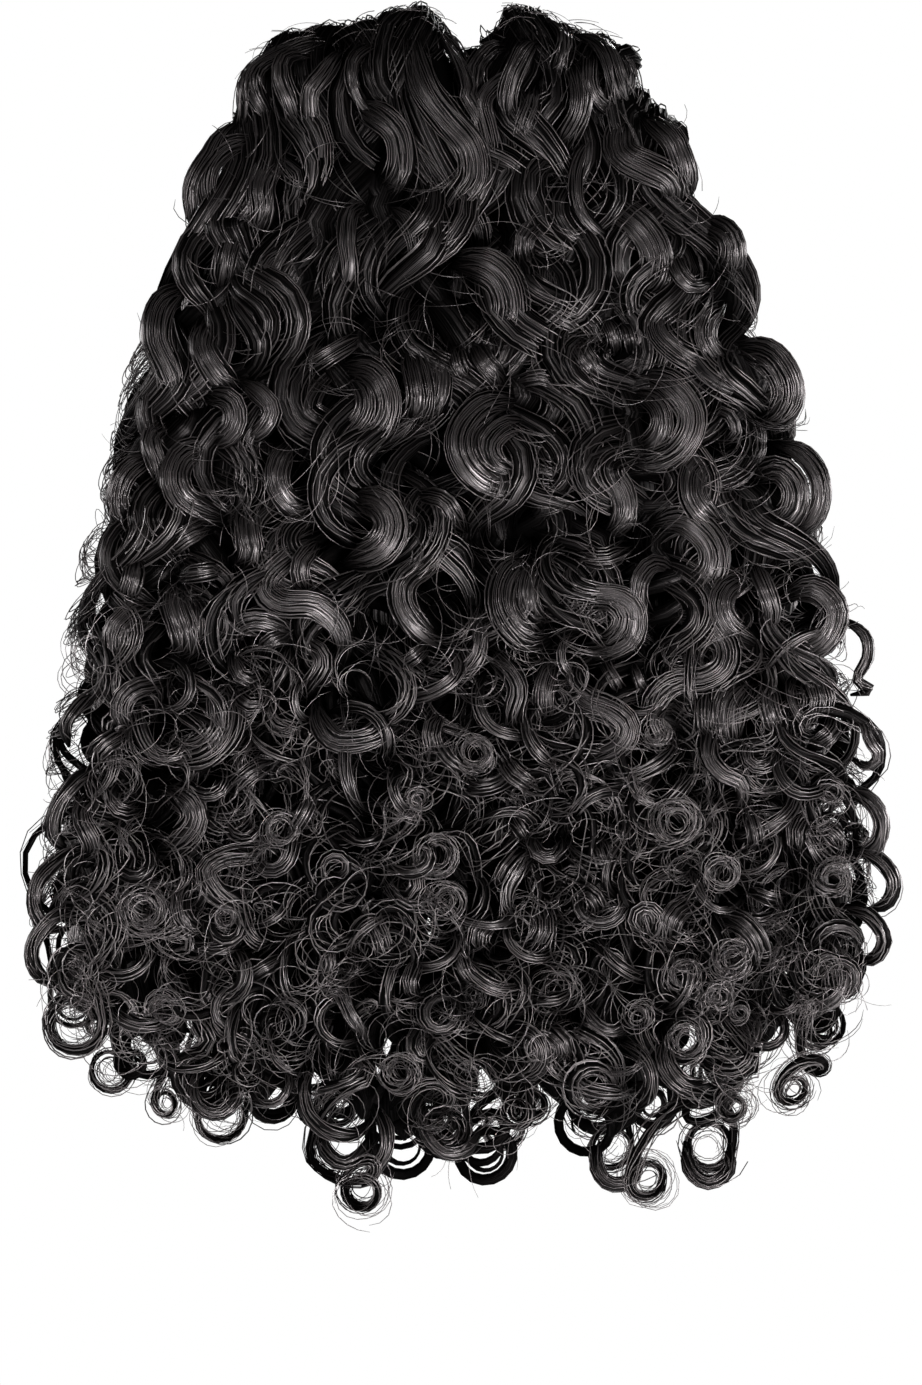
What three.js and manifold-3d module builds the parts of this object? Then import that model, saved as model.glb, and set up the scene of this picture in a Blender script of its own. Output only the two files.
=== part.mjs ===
import * as THREE from 'three';
import { mergeVertices } from 'three/addons/utils/BufferGeometryUtils.js';
import Module from 'manifold-3d';

// Sizes in millimetres. X runs to the right, Y to the back and Z up.
// The origin lies inside the loops, on the line that the hair hangs from.

const HAIR_COLOUR = 0x1d1a19;
const HAIR_ROUGHNESS = 0.42;
const PIECE_GAP = 0.4;

// Folds: the legs of each loop and the section of hair that bends over.
const LEG_FRONT_Y = -12;
const LEG_THICKNESS = 13;
const LEG_FOOT_Z = -2;
const FOLD_SIDES = 8;
const FOLD_BENDS = 8;
const ROOT_BAND_DEPTH = 12;
const ROOT_Z = LEG_FOOT_Z - PIECE_GAP - 3;

// Fan: how wide the locks spread, how low they hang, and how soon the fan opens.
const FAN_LEFT = -120;
const FAN_RIGHT = 121;
const FAN_LOWEST_Z = -308;
const FAN_BULGE = 2.4;

// Waves: reach sideways and in depth, and how the bends crowd towards the ends.
const WAVE_WIDTH = 7.4;
const WAVE_DEPTH = 2.6;
const SLOW_TURNS = 5.4;
const QUICK_TURNS = 2.4;
const STEPS_PER_TURN = 5;

// Curled ends: the length over which a lock narrows, and the ring that it ends in.
const NARROWING = 46;
const CURL_HALF_WIDTH = 2.1;
const CURL_HALF_THICK = 1.9;
const RING_STEPS = 8;
const RING_TURN = 1.12;
const RING_RISE = 5.4;

// Hanks: left and right edge of the fold, height of its crest, and its slope to the right.
const HANKS = [
  { name: 'outer_left', left: -70, right: -28.8, crest: 27.5, slope: 0.36 },
  { name: 'inner_left', left: -28.3, right: 0.6, crest: 38.4, slope: 0.05 },
  { name: 'middle', left: 1.1, right: 9.8, crest: 27, slope: 0 },
  { name: 'inner_right', left: 10.3, right: 30.4, crest: 38.4, slope: -0.08 },
  { name: 'outer_right', left: 30.9, right: 66, crest: 25.5, slope: -0.42 },
];

// Layers: where the locks leave the fold, how far out they hang, their half thickness and their wave.
const LAYERS = {
  outer: { rootY: -15.6, tipY: -29.5, rootThick: 2.8, tipThick: 7, phase: 0.4 },
  inner: { rootY: -8.5, tipY: -11.8, rootThick: 2.8, tipThick: 4.8, phase: 2.6 },
  rear: { rootY: 12, tipY: 14, rootThick: 5.4, tipThick: 8, phase: 1.2 },
};

// Locks from left to right in each layer: the hank that each falls from, the middle and radius of
// the ring at its end, and the side that the ring turns to.
const LOCKS = {
  outer: [
    { hank: 'outer_left', tipX: -114, tipZ: -260, ring: 7.2, turn: -1 },
    { hank: 'outer_left', tipX: -85, tipZ: -283, ring: 5.9, turn: 1 },
    { hank: 'outer_left', tipX: -61, tipZ: -269, ring: 6.7, turn: 1 },
    { hank: 'inner_left', tipX: -26, tipZ: -308.6, ring: 7.9, turn: 1 },
    { hank: 'inner_left', tipX: -3, tipZ: -291, ring: 7.3, turn: 1 },
    { hank: 'middle', tipX: 19, tipZ: -284, ring: 5.8, turn: 1 },
    { hank: 'inner_right', tipX: 36, tipZ: -278, ring: 5.9, turn: -1 },
    { hank: 'inner_right', tipX: 56, tipZ: -305, ring: 7.9, turn: 1 },
    { hank: 'outer_right', tipX: 78, tipZ: -284, ring: 5.9, turn: 1 },
    { hank: 'outer_right', tipX: 96, tipZ: -279, ring: 6.7, turn: 1 },
    { hank: 'outer_right', tipX: 113, tipZ: -248, ring: 5.6, turn: 1 },
  ],
  inner: [
    { hank: 'outer_left', tipX: -104, tipZ: -275, ring: 5.9, turn: -1 },
    { hank: 'outer_left', tipX: -72, tipZ: -289, ring: 7.3, turn: -1 },
    { hank: 'inner_left', tipX: -37, tipZ: -286, ring: 7, turn: 1 },
    { hank: 'inner_left', tipX: -10, tipZ: -278, ring: 6, turn: -1 },
    { hank: 'middle', tipX: 14, tipZ: -292, ring: 5.6, turn: -1 },
    { hank: 'inner_right', tipX: 44, tipZ: -298, ring: 6.2, turn: -1 },
    { hank: 'outer_right', tipX: 71, tipZ: -297, ring: 7, turn: -1 },
    { hank: 'outer_right', tipX: 105, tipZ: -264, ring: 6.7, turn: 1 },
  ],
  rear: [
    { hank: 'outer_left', tipX: -104, tipZ: -256, ring: 7, turn: -1 },
    { hank: 'outer_left', tipX: -68, tipZ: -276, ring: 7, turn: 1 },
    { hank: 'inner_left', tipX: -36, tipZ: -286, ring: 7, turn: -1 },
    { hank: 'inner_left', tipX: -8, tipZ: -290, ring: 7, turn: 1 },
    { hank: 'middle', tipX: 15, tipZ: -285, ring: 5.6, turn: -1 },
    { hank: 'inner_right', tipX: 42, tipZ: -288, ring: 7, turn: 1 },
    { hank: 'outer_right', tipX: 77, tipZ: -276, ring: 7, turn: -1 },
    { hank: 'outer_right', tipX: 105, tipZ: -256, ring: 7, turn: 1 },
  ],
};

const wasm = await Module();
wasm.setup();

function toManifold(geometry) {
  const bare = geometry.clone();
  bare.deleteAttribute('normal');
  bare.deleteAttribute('uv');
  const merged = mergeVertices(bare, 1e-4);
  return new wasm.Manifold(new wasm.Mesh({
    numProp: 3,
    vertProperties: new Float32Array(merged.attributes.position.array),
    triVerts: new Uint32Array(merged.index.array),
  }));
}

function toGeometry(solid) {
  const mesh = solid.getMesh();
  const geometry = new THREE.BufferGeometry();
  geometry.setAttribute('position', new THREE.BufferAttribute(new Float32Array(mesh.vertProperties), 3));
  geometry.setIndex(new THREE.BufferAttribute(new Uint32Array(mesh.triVerts), 1));
  return geometry;
}

// Closed skin through a run of rings that all have the same number of corners.
function skin(rings) {
  const corners = rings[0].length;
  const points = rings.flat();
  const index = [];
  for (let r = 0; r + 1 < rings.length; r++) {
    for (let c = 0; c < corners; c++) {
      const a = r * corners + c;
      const b = r * corners + (c + 1) % corners;
      index.push(a, b, a + corners);
      index.push(b, b + corners, a + corners);
    }
  }
  const last = (rings.length - 1) * corners;
  for (let c = 1; c + 1 < corners; c++) {
    index.push(0, c + 1, c);
    index.push(last, last + c, last + c + 1);
  }
  const geometry = new THREE.BufferGeometry().setFromPoints(points);
  geometry.setIndex(index);
  return geometry;
}

// Heights that every lock has a section at, closer together as the bends crowd.
function sectionHeights() {
  const heights = [];
  const turns = SLOW_TURNS + QUICK_TURNS;
  for (let turned = 0; turned <= turns; turned += 1 / STEPS_PER_TURN) {
    const root = Math.sqrt(SLOW_TURNS ** 2 + 4 * QUICK_TURNS * turned);
    const down = (root - SLOW_TURNS) / (2 * QUICK_TURNS);
    heights.push(THREE.MathUtils.lerp(ROOT_Z, FAN_LOWEST_Z, down));
  }
  return heights;
}

// How far the fan has opened at a height: 0 at the roots and 1 at its lowest.
function fanShare(z) {
  const down = THREE.MathUtils.clamp((ROOT_Z - z) / (ROOT_Z - FAN_LOWEST_Z), 0, 1);
  return 1 - (1 - down) ** FAN_BULGE;
}

// Place on the wide fan below an edge at the folds.
function fanEdge(rootX, share) {
  const across = (rootX - HANKS[0].left) / (HANKS.at(-1).right - HANKS[0].left);
  return THREE.MathUtils.lerp(rootX, THREE.MathUtils.lerp(FAN_LEFT, FAN_RIGHT, across), share);
}

// Sway of a whole layer at a height, so that neighbouring locks nest in each other's bends.
function waveAt(layer, z) {
  const down = (ROOT_Z - z) / (ROOT_Z - FAN_LOWEST_Z);
  const angle = layer.phase + 2 * Math.PI * (SLOW_TURNS * down + QUICK_TURNS * down * down);
  const swell = THREE.MathUtils.smoothstep(down, 0, 0.12);
  return { x: WAVE_WIDTH * swell * Math.sin(angle), y: WAVE_DEPTH * swell * Math.cos(angle), angle };
}

// Level section of a lock: two side edges, with a ridge in front and one behind.
function lockSection(lock, layer, z) {
  const share = fanShare(z);
  const wave = waveAt(layer, z);
  const left = fanEdge(lock.left, share) + PIECE_GAP / 2;
  const right = fanEdge(lock.right, share) - PIECE_GAP / 2;
  const narrow = THREE.MathUtils.smoothstep(lock.tipZ + NARROWING - z, 0, NARROWING);
  const lerp = THREE.MathUtils.lerp;
  const x = lerp((left + right) / 2 + wave.x, lock.tipX - lock.turn * lock.ring, narrow);
  const y = lerp(lerp(layer.rootY, layer.tipY, share) + wave.y, layer.tipY, narrow);
  const half = lerp((right - left) / 2, CURL_HALF_WIDTH, narrow);
  const thick = lerp(lerp(layer.rootThick, layer.tipThick, share), CURL_HALF_THICK, narrow);
  const ridge = x + 0.45 * half * (1 - narrow) * Math.cos(wave.angle + lock.tipX);
  return [
    new THREE.Vector3(x + half, y, z),
    new THREE.Vector3(ridge, y - thick, z),
    new THREE.Vector3(x - half, y, z),
    new THREE.Vector3(ridge, y + thick, z),
  ];
}

// Section across the ring that a lock ends in, a share of the way round.
function ringSection(lock, layer, round) {
  const angle = round * RING_TURN * 2 * Math.PI;
  const out = new THREE.Vector3(-lock.turn * Math.cos(angle), 0, -Math.sin(angle));
  const middle = new THREE.Vector3(lock.tipX, layer.tipY + RING_RISE * round * round, lock.tipZ);
  middle.addScaledVector(out, lock.ring);
  const wide = out.clone().multiplyScalar(-lock.turn * CURL_HALF_WIDTH * (1 - 0.3 * round));
  const thick = new THREE.Vector3(0, CURL_HALF_THICK * (1 - 0.3 * round), 0);
  return [
    middle.clone().add(wide),
    middle.clone().sub(thick),
    middle.clone().sub(wide),
    middle.clone().add(thick),
  ];
}

// Solid of one lock, from inside its root band down to the end of its ring.
function lockGeometry(lock, layer) {
  const heights = sectionHeights().filter((z) => z > lock.tipZ + 3);
  const rings = [...heights, lock.tipZ].map((z) => lockSection(lock, layer, z));
  for (let s = 1; s <= RING_STEPS; s++) {
    rings.push(ringSection(lock, layer, s / RING_STEPS));
  }
  return skin(rings);
}

// Corners of the flattened section of hair in one hank, about its own middle.
function hankSection(hank) {
  const halfWidth = (hank.right - hank.left) / 2;
  const corners = [];
  for (let c = 0; c < FOLD_SIDES; c++) {
    const angle = (c + 0.5) / FOLD_SIDES * 2 * Math.PI;
    const across = Math.cos(angle) / Math.cos(Math.PI / FOLD_SIDES);
    const out = Math.sin(angle) / Math.sin(Math.PI * 3 / FOLD_SIDES);
    corners.push({ across: across * halfWidth, out: out * LEG_THICKNESS / 2 });
  }
  return corners;
}

// Fold of one hank: up the back leg, over the crest and down the front leg.
function loopGeometry(hank) {
  const centre = (hank.left + hank.right) / 2;
  const bendRadius = -LEG_FRONT_Y;
  const bendZ = hank.crest - bendRadius - LEG_THICKNESS / 2;
  const stations = [{ turn: Math.PI, z: LEG_FOOT_Z }];
  for (let b = FOLD_BENDS; b >= 0; b--) {
    stations.push({ turn: b / FOLD_BENDS * Math.PI, z: bendZ });
  }
  stations.push({ turn: 0, z: LEG_FOOT_Z });
  const section = hankSection(hank);
  const rings = stations.map(({ turn, z }) => section.map(({ across, out }) => {
    const reach = bendRadius + out;
    const lean = z === bendZ ? hank.slope * across : 0;
    return new THREE.Vector3(centre + across, -reach * Math.cos(turn), z + reach * Math.sin(turn) + lean);
  }));
  return skin(rings);
}

// Band of straight hair at the foot of a leg, that the locks of a fall grow out of.
function rootBandGeometry(hank, legY) {
  const centre = (hank.left + hank.right) / 2;
  const section = hankSection(hank);
  const top = LEG_FOOT_Z - PIECE_GAP;
  const levels = [{ z: top, size: 1 }, { z: top - ROOT_BAND_DEPTH, size: 0.8 }];
  const rings = levels.map(({ z, size }) => section.map(({ across, out }) => (
    new THREE.Vector3(centre + across * size, legY - out * size, z)
  )));
  return skin(rings);
}

// Locks that fall from one hank in one layer, side by side across its width.
function hankLocks(hank, layerName) {
  const own = LOCKS[layerName].filter((lock) => lock.hank === hank.name);
  const step = (hank.right - hank.left) / own.length;
  return own.map((lock, i) => ({ ...lock, left: hank.left + step * i, right: hank.left + step * (i + 1) }));
}

function fallGeometry(hank, layerNames, legY) {
  let solid = toManifold(rootBandGeometry(hank, legY));
  layerNames.forEach((layerName) => {
    hankLocks(hank, layerName).forEach((lock) => {
      solid = solid.add(toManifold(lockGeometry(lock, LAYERS[layerName])));
    });
  });
  return toGeometry(solid);
}

function hairMesh(name, geometry) {
  const material = new THREE.MeshStandardMaterial({
    color: HAIR_COLOUR,
    roughness: HAIR_ROUGHNESS,
    metalness: 0,
    flatShading: true,
  });
  const mesh = new THREE.Mesh(geometry, material);
  mesh.name = name;
  return mesh;
}

const crochetHair = new THREE.Group();
crochetHair.name = 'crochet_hair';
HANKS.forEach((hank) => {
  crochetHair.add(hairMesh(`${hank.name}_loop`, loopGeometry(hank)));
  crochetHair.add(hairMesh(`${hank.name}_front`, fallGeometry(hank, ['outer', 'inner'], LEG_FRONT_Y)));
  crochetHair.add(hairMesh(`${hank.name}_back`, fallGeometry(hank, ['rear'], -LEG_FRONT_Y)));
});

export default crochetHair;
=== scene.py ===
import math
import bpy
import numpy as np
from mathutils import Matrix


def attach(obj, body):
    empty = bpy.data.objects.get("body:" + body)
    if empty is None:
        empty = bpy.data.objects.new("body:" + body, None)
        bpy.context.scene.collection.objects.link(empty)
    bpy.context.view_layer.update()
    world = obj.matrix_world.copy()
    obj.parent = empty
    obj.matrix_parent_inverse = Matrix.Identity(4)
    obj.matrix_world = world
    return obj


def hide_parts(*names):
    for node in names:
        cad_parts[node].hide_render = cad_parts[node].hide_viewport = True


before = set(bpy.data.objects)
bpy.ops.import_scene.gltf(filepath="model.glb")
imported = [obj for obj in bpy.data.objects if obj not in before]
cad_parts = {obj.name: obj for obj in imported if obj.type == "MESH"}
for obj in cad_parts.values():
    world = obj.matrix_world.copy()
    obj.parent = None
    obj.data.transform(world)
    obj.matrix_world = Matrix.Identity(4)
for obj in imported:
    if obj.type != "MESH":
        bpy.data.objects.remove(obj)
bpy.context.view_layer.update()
rng = np.random.default_rng(11)  # the same hair on every run
mm = 0.001
tau = 2 * math.pi

# the five folded hanks, in millimetres, close to the solids
# an end: how far the top of the fold drops there, and between which two shares of the half width
hanks = [
    dict(
        name="outer_left", left=-70.0, right=-28.8, crest=31.3, slope=0.29,
        leftEnd=(14, 0.1, 1.2), rightEnd=(1.5, 0.4, 1.0)),
    dict(
        name="inner_left", left=-28.3, right=0.6, crest=39.6, slope=-0.03,
        leftEnd=(6.5, 0.35, 1.15), rightEnd=(19, 0.12, 1.3)),
    dict(
        name="middle", left=1.1, right=9.8, crest=27.0, slope=0.0,
        leftEnd=(2, 0.2, 1.0), rightEnd=(1, 0.2, 1.0)),
    dict(
        name="inner_right", left=10.3, right=30.4, crest=39.4, slope=-0.08,
        leftEnd=(4, 0.6, 1.15), rightEnd=(6, 0.2, 1.05)),
    dict(
        name="outer_right", left=30.9, right=66.0, crest=28.5, slope=-0.3,
        leftEnd=(0, 0.2, 1.0), rightEnd=(14, -0.25, 0.4)),
]
hankGap = 0.5
fan = dict(  # how the hair spreads from the crown to the tips
    crownLeft=-71.0, crownRight=64.5, left=-124.5, right=121.0, inset=2.0, bulge=2.4, rootZ=-5.4,
    lowest=-308.0, pastTips=1.1, tips=-300.0, tipRise=50.0, tipCurve=2.2, slack=6.0, drawIn=0.45,
)
swing = dict(slow=6.283, quick=11.7, share=0.6)  # the two waves in a slow wander
askew = 0.05
frontward = (askew, -1.0, askew)  # out of the hair in front


def lerp(a, b, t):
    return a + (b - a) * t


def smooth(x, low, high):
    t = np.clip((x - low) / (high - low), 0.0, 1.0)
    return t * t * (3 - 2 * t)


def unit(v):
    return v / (np.linalg.norm(v, axis=-1, keepdims=True) + 1e-9)


def drift(d, length, phases):  # slow wander between about -1 and 1
    slow = np.sin(d / length * swing["slow"] + phases[0])
    quick = np.sin(d / length * swing["quick"] + phases[1])
    return (slow + swing["share"] * quick) / (1 + swing["share"])


def hankAt(rootX):
    for hank in hanks:
        if rootX <= hank["right"] + hankGap / 2:
            return hank
    return hanks[-1]


def middleOf(hank):  # its middle and half its width
    return (hank["left"] + hank["right"]) / 2, (hank["right"] - hank["left"]) / 2


# places in the fan: q goes from 0 at its left side to 1 at its right
def nearSide(q):  # 0 in the middle, 1 at a side
    return abs(2 * q - 1)


def crownX(q):
    return lerp(fan["crownLeft"], fan["crownRight"], q)


def fanBottom(q):
    return fan["tips"] + fan["tipRise"] * nearSide(q) ** fan["tipCurve"]


def fanShare(z):  # how far the hair has spread from the crown to the width of the tips
    down = np.clip((fan["rootZ"] - z) / (fan["rootZ"] - fan["lowest"]), 0.0, 1.0)
    return 1 - (1 - down) ** fan["bulge"]


def fanSides(z):
    share = fanShare(z)
    return lerp(fan["crownLeft"], fan["left"], share), lerp(fan["crownRight"], fan["right"], share)


def fanPlace(x, z):
    left, right = fanSides(z)
    return (x - left) / (right - left)


def heldIn(x, z):  # what swings out past the side of the fan is drawn back
    left, right = fanSides(z)
    past = np.maximum(x - right - fan["slack"], 0) - np.maximum(left - fan["slack"] - x, 0)
    return x - fan["drawIn"] * past


# the fold at the top of a hank: the drop from its top to the middle of its bend, how the hair is
# gathered towards the high side of a sloping fold, and where down a wisp it has spread again
fold = dict(
    drop=18.5, reach=1.1, near=1.5, deepest=9.0, pull=2.2, mostPull=0.8, gathered=-4, spread=26, soft=0.0012,
)


def foldTop(hank, x):  # height of the top of the fold, round at the ends of each hank
    middle, half = middleOf(hank)
    u = np.clip((x - middle) / half, -fold["reach"], fold["reach"])
    ends = ((-u, hank["leftEnd"]), (u, hank["rightEnd"]))
    drops = [amount * smooth(v, low, high) for v, (amount, low, high) in ends]
    return hank["crest"] + hank["slope"] * u * half - drops[0] - drops[1]


def crownTops(roots):
    return np.array([foldTop(hankAt(root), root) for root in roots])


def foldSlope(hank, x):
    return (foldTop(hank, x + fold["near"]) - foldTop(hank, x - fold["near"])) / (2 * fold["near"])


# locks: clumps that wave together at the top and part into wisps lower down, in layers
# a plain layer is the ground behind the others, dark with painted shade; rise is how far tips end above the
# fan's bottom
layerAs = dict(rootThick=2.8, plain=False, coilStep=0.42)  # as most layers are
sheetAs = dict(strands=0, depth=0.0, bendStep=0.34, fineFrom=170, lit=0.75)  # as most sheets are
locks = dict(
    outer=dict(layerAs, rootY=-15.6, tipY=-29.5, clumps=15, sheets=[
        dict(
            sheetAs, wisps=3, strands=4, depth=-5.0, rise=(8, 70), wide=3.0, gather=(0.45, 0.7),
            bendStep=0.26),
        dict(
            sheetAs, wisps=2, depth=2.0, rise=(0, 40), wide=4.0, gather=(0.55, 0.75), fineFrom=210,
            lit=0.45)]),
    under=dict(layerAs, rootY=-12.6, tipY=-19.0, clumps=15, plain=True, sheets=[
        dict(sheetAs, wisps=1, rise=(6, 22), wide=9.4, gather=(0.6, 0.7))]),
    inner=dict(layerAs, rootY=-8.5, tipY=-11.8, clumps=8, sheets=[
        dict(sheetAs, wisps=2, rise=(0, 30), wide=2.3, gather=(0.9, 1.0), fineFrom=210)]),
    rear=dict(layerAs, rootY=12.0, tipY=14.0, rootThick=5.4, clumps=13, coilStep=0.5, sheets=[
        dict(
            sheetAs, wisps=2, strands=4, depth=4.0, rise=(0, 50), wide=4.4, gather=(0.5, 0.75),
            bendStep=0.4)]),
    lining=dict(layerAs, rootY=9.6, tipY=9.5, clumps=13, plain=True, sheets=[
        dict(sheetAs, wisps=1, rise=(26, 44), wide=10.4, gather=(0.6, 0.7))]),
)
frontLayers, outsideLayers = ("outer", "under", "inner"), ("outer", "rear")
ringEnds = dict(  # middle, height and radius of the ring ends that hang free, and the way each turns
    outer=[
        (-114, -260, 7.2, -1), (-85, -283, 5.9, 1), (-61, -269, 6.7, 1), (-26, -308.6, 7.9, 1),
        (-3, -291, 7.3, 1), (19, -284, 5.8, 1), (36, -278, 5.9, -1), (56, -305, 7.9, 1),
        (78, -284, 5.9, 1), (96, -279, 6.7, 1), (113, -248, 5.6, 1),
    ],
    inner=[
        (-104, -275, 5.9, -1), (-72, -289, 7.3, -1), (-37, -286, 7.0, 1), (-10, -278, 6.0, -1),
        (14, -292, 5.6, -1), (44, -298, 6.2, -1), (71, -297, 7.0, -1), (105, -264, 6.7, 1),
    ],
    rear=[
        (-104, -256, 7.0, -1), (-68, -276, 7.0, 1), (-36, -286, 7.0, -1), (-8, -290, 7.0, 1),
        (15, -285, 5.6, -1), (42, -288, 7.0, 1), (77, -276, 7.0, -1), (105, -256, 7.0, 1),
    ],
)
vary = dict(  # how clumps and wisps differ
    shift=(-0.16, 0.16), stagger=0.25, places=(0.03, 0.97), plainPlaces=(0.07, 0.93), calmFrom=(0.72, 0.95),
    calm=0.8, pace=(0.88, 1.14), lean=(0.82, 1.18), plainLean=0.3, depth=(-1.2, 1.2), bulge=(2.4, 6.0),
    plainBulge=0.5, bulgePhase=0.6, overlap=4.0 / 3.0, wide=(0.85, 1.15), ownPace=0.12, ownLean=0.1,
    start=(8, 20), coilAt=(198, 262), coilPitch=(24, 44), coil=(4.4, 8.4), ring=(5.0, 7.4),
    curlIn=(1.2, 2.4), ringStrands=4, frontFirst=5,
)


def makeClump(layer, sheet, clump):
    # what the wisps of one clump share
    plan = locks[layer]
    own, plain = plan["sheets"][sheet], plan["plain"]
    stagger = (2 * sheet - 1) * vary["stagger"] if len(plan["sheets"]) > 1 else 0
    middle = clump + 0.5 + stagger + rng.uniform(*vary["shift"])
    q = float(np.clip(middle / plan["clumps"], *vary["places"]))
    if plain:
        q = lerp(*vary["plainPlaces"], clump / (plan["clumps"] - 1))
    calm = lerp(1.0, vary["calm"], float(smooth(nearSide(q), *vary["calmFrom"])))  # calmer at the sides
    return dict(
        layer=layer, sheet=sheet, look=own, plain=plain, q=q, rootX=crownX(q), hank=hankAt(crownX(q)),
        tipX=lerp(fan["left"] + fan["inset"], fan["right"] - fan["inset"], q),
        phase=rng.uniform(0, tau), pace=rng.uniform(*vary["pace"]) * calm,
        lean=vary["plainLean"] if plain else rng.uniform(*vary["lean"]) * calm,
        depth=own["depth"] + rng.uniform(*vary["depth"]),
        bulge=vary["plainBulge"] if plain else rng.uniform(*vary["bulge"]),
        bulgePhase=rng.choice((0.0, math.pi)) + rng.normal(0, vary["bulgePhase"]),
        wander=rng.uniform(0, tau, 6), gather=rng.uniform(*own["gather"]),
        outward=own["depth"] if plan["rootY"] > 0 else -own["depth"])


def makeWisps():
    wisps = []
    for layer, plan in locks.items():
        first = len(wisps)
        for sheet, own in enumerate(plan["sheets"]):
            for clump in range(plan["clumps"]):
                shared = makeClump(layer, sheet, clump)
                for w in range(own["wisps"]):
                    wisps.append(dict(
                        shared, beside=(w - (own["wisps"] - 1) / 2) * vary["overlap"] * own["wide"],
                        wide=own["wide"] * rng.uniform(*vary["wide"]),
                        tipZ=fanBottom(shared["q"]) + rng.uniform(*own["rise"]),
                        ring=rng.uniform(*vary["ring"]), turn=0,
                        ownPace=rng.normal(0, vary["ownPace"]), ownLean=rng.normal(0, vary["ownLean"]),
                        coilAt=rng.uniform(*vary["coilAt"]), coilPitch=rng.uniform(*vary["coilPitch"]),
                        coil=rng.uniform(*vary["coil"]), start=-rng.uniform(*vary["start"]),
                        uneven=rng.uniform(0, tau, 6), curlIn=rng.uniform(*vary["curlIn"]),
                        strands=own["strands"], main=False))
        for x, z, radius, turn in ringEnds.get(layer, []):  # the nearest wisp goes to each free ring end
            free = [w for w in wisps[first:] if not w["main"]]
            best = min(free, key=lambda w: abs(w["tipX"] - x) + vary["frontFirst"] * w["sheet"])
            strands = best["strands"] + vary["ringStrands"]
            best.update(ringX=x, tipZ=z, ring=radius, turn=turn, main=True, strands=strands)
    return wisps


def lineOf(wisp, t, aside=0.0):
    # middle line of a wisp at distances t down from the crest, and the way out of the hair there
    layer, hank = locks[wisp["layer"]], wisp["hank"]
    side = 1.0 if layer["rootY"] > 0 else -1.0
    around = abs(layer["rootY"] + wisp["depth"] / fold["deepest"] * layer["rootThick"])
    arc = around * math.pi / 2
    middle, half = middleOf(hank)
    pull = min(abs(hank["slope"]) * fold["pull"], fold["mostPull"])
    anchor = middle + np.sign(hank["slope"]) * half * pull
    spread = lerp(wisp["gather"], 1.0, smooth(t, fold["gathered"], arc + fold["spread"]))
    held = anchor + (wisp["rootX"] - anchor) * spread
    lies = held + side * wisp["beside"] + aside
    bendZ = foldTop(hank, lies) - fold["drop"]
    zero = arc + foldTop(hank, wisp["rootX"] + side * wisp["beside"]) - fold["drop"]
    angle = np.clip(t / around, -math.pi / 2, math.pi / 2)
    z = np.where(t < arc, bendZ + around * np.cos(angle), bendZ - (t - arc))
    down = np.clip((fan["rootZ"] - z) / (fan["rootZ"] - fan["lowest"]), 0.0, fan["pastTips"]) * (t > arc)
    down = np.sqrt(down ** 2 + fold["soft"]) - math.sqrt(fold["soft"])
    share = 1 - np.clip(1 - down, 0.0, 1.0) ** fan["bulge"]
    x = lerp(held, wisp["tipX"], share)
    falls = lerp(side * around, layer["tipY"] + wisp["depth"], share)
    y = np.where(t < arc, side * around * np.sin(angle), falls)
    out = np.stack([-foldSlope(hank, lies) * np.cos(angle), side * np.sin(angle), np.cos(angle)], -1)
    return np.stack([x, y, z], -1), unit(out), zero


# down from the crest: the greatest lean of a strand from its line, and the length of one wave along it
# an uneven value has its share and the length over which it comes and goes
wave = dict(
    at=(0, 30, 60, 100, 170, 215, 280), lean=(0.42, 0.74, 0.92, 1.08, 1.2, 1.25, 1.3),
    length=(72, 72, 70, 64, 57, 50, 46), unevenLean=(0.18, 90), unevenLength=(0.16, 110),
    parts=(110, 230), home=0.012, ahead=0.5, leastBend=0.2, steps=(2.2, 5.2), mostRows=280,
)
coils = dict(  # room, mustTurn, nearRing and startsAt are distances up from the end of a wisp
    room=45, mustTurn=25, nearRing=(40, 8), startsAt=4, facing=0.8, mainStep=0.36, ringStep=0.37,
    ringTurns=1.35, mainClose=(0.72, 0.88), close=(0.4, 1.12),
    uneven=(0.45, 37), unevenPitch=(0.9, 43), leastPitch=0.25, aside=(0.32, 60),
)


def parted(t):  # how far a lock has parted into single wisps
    return smooth(t, *wave["parts"])


def nearEnd(t, end, span):
    return smooth(t, end - span[0], end - span[1])


def roam(look, t, phases):
    share, length = look
    return share * drift(t, length, phases)


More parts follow.
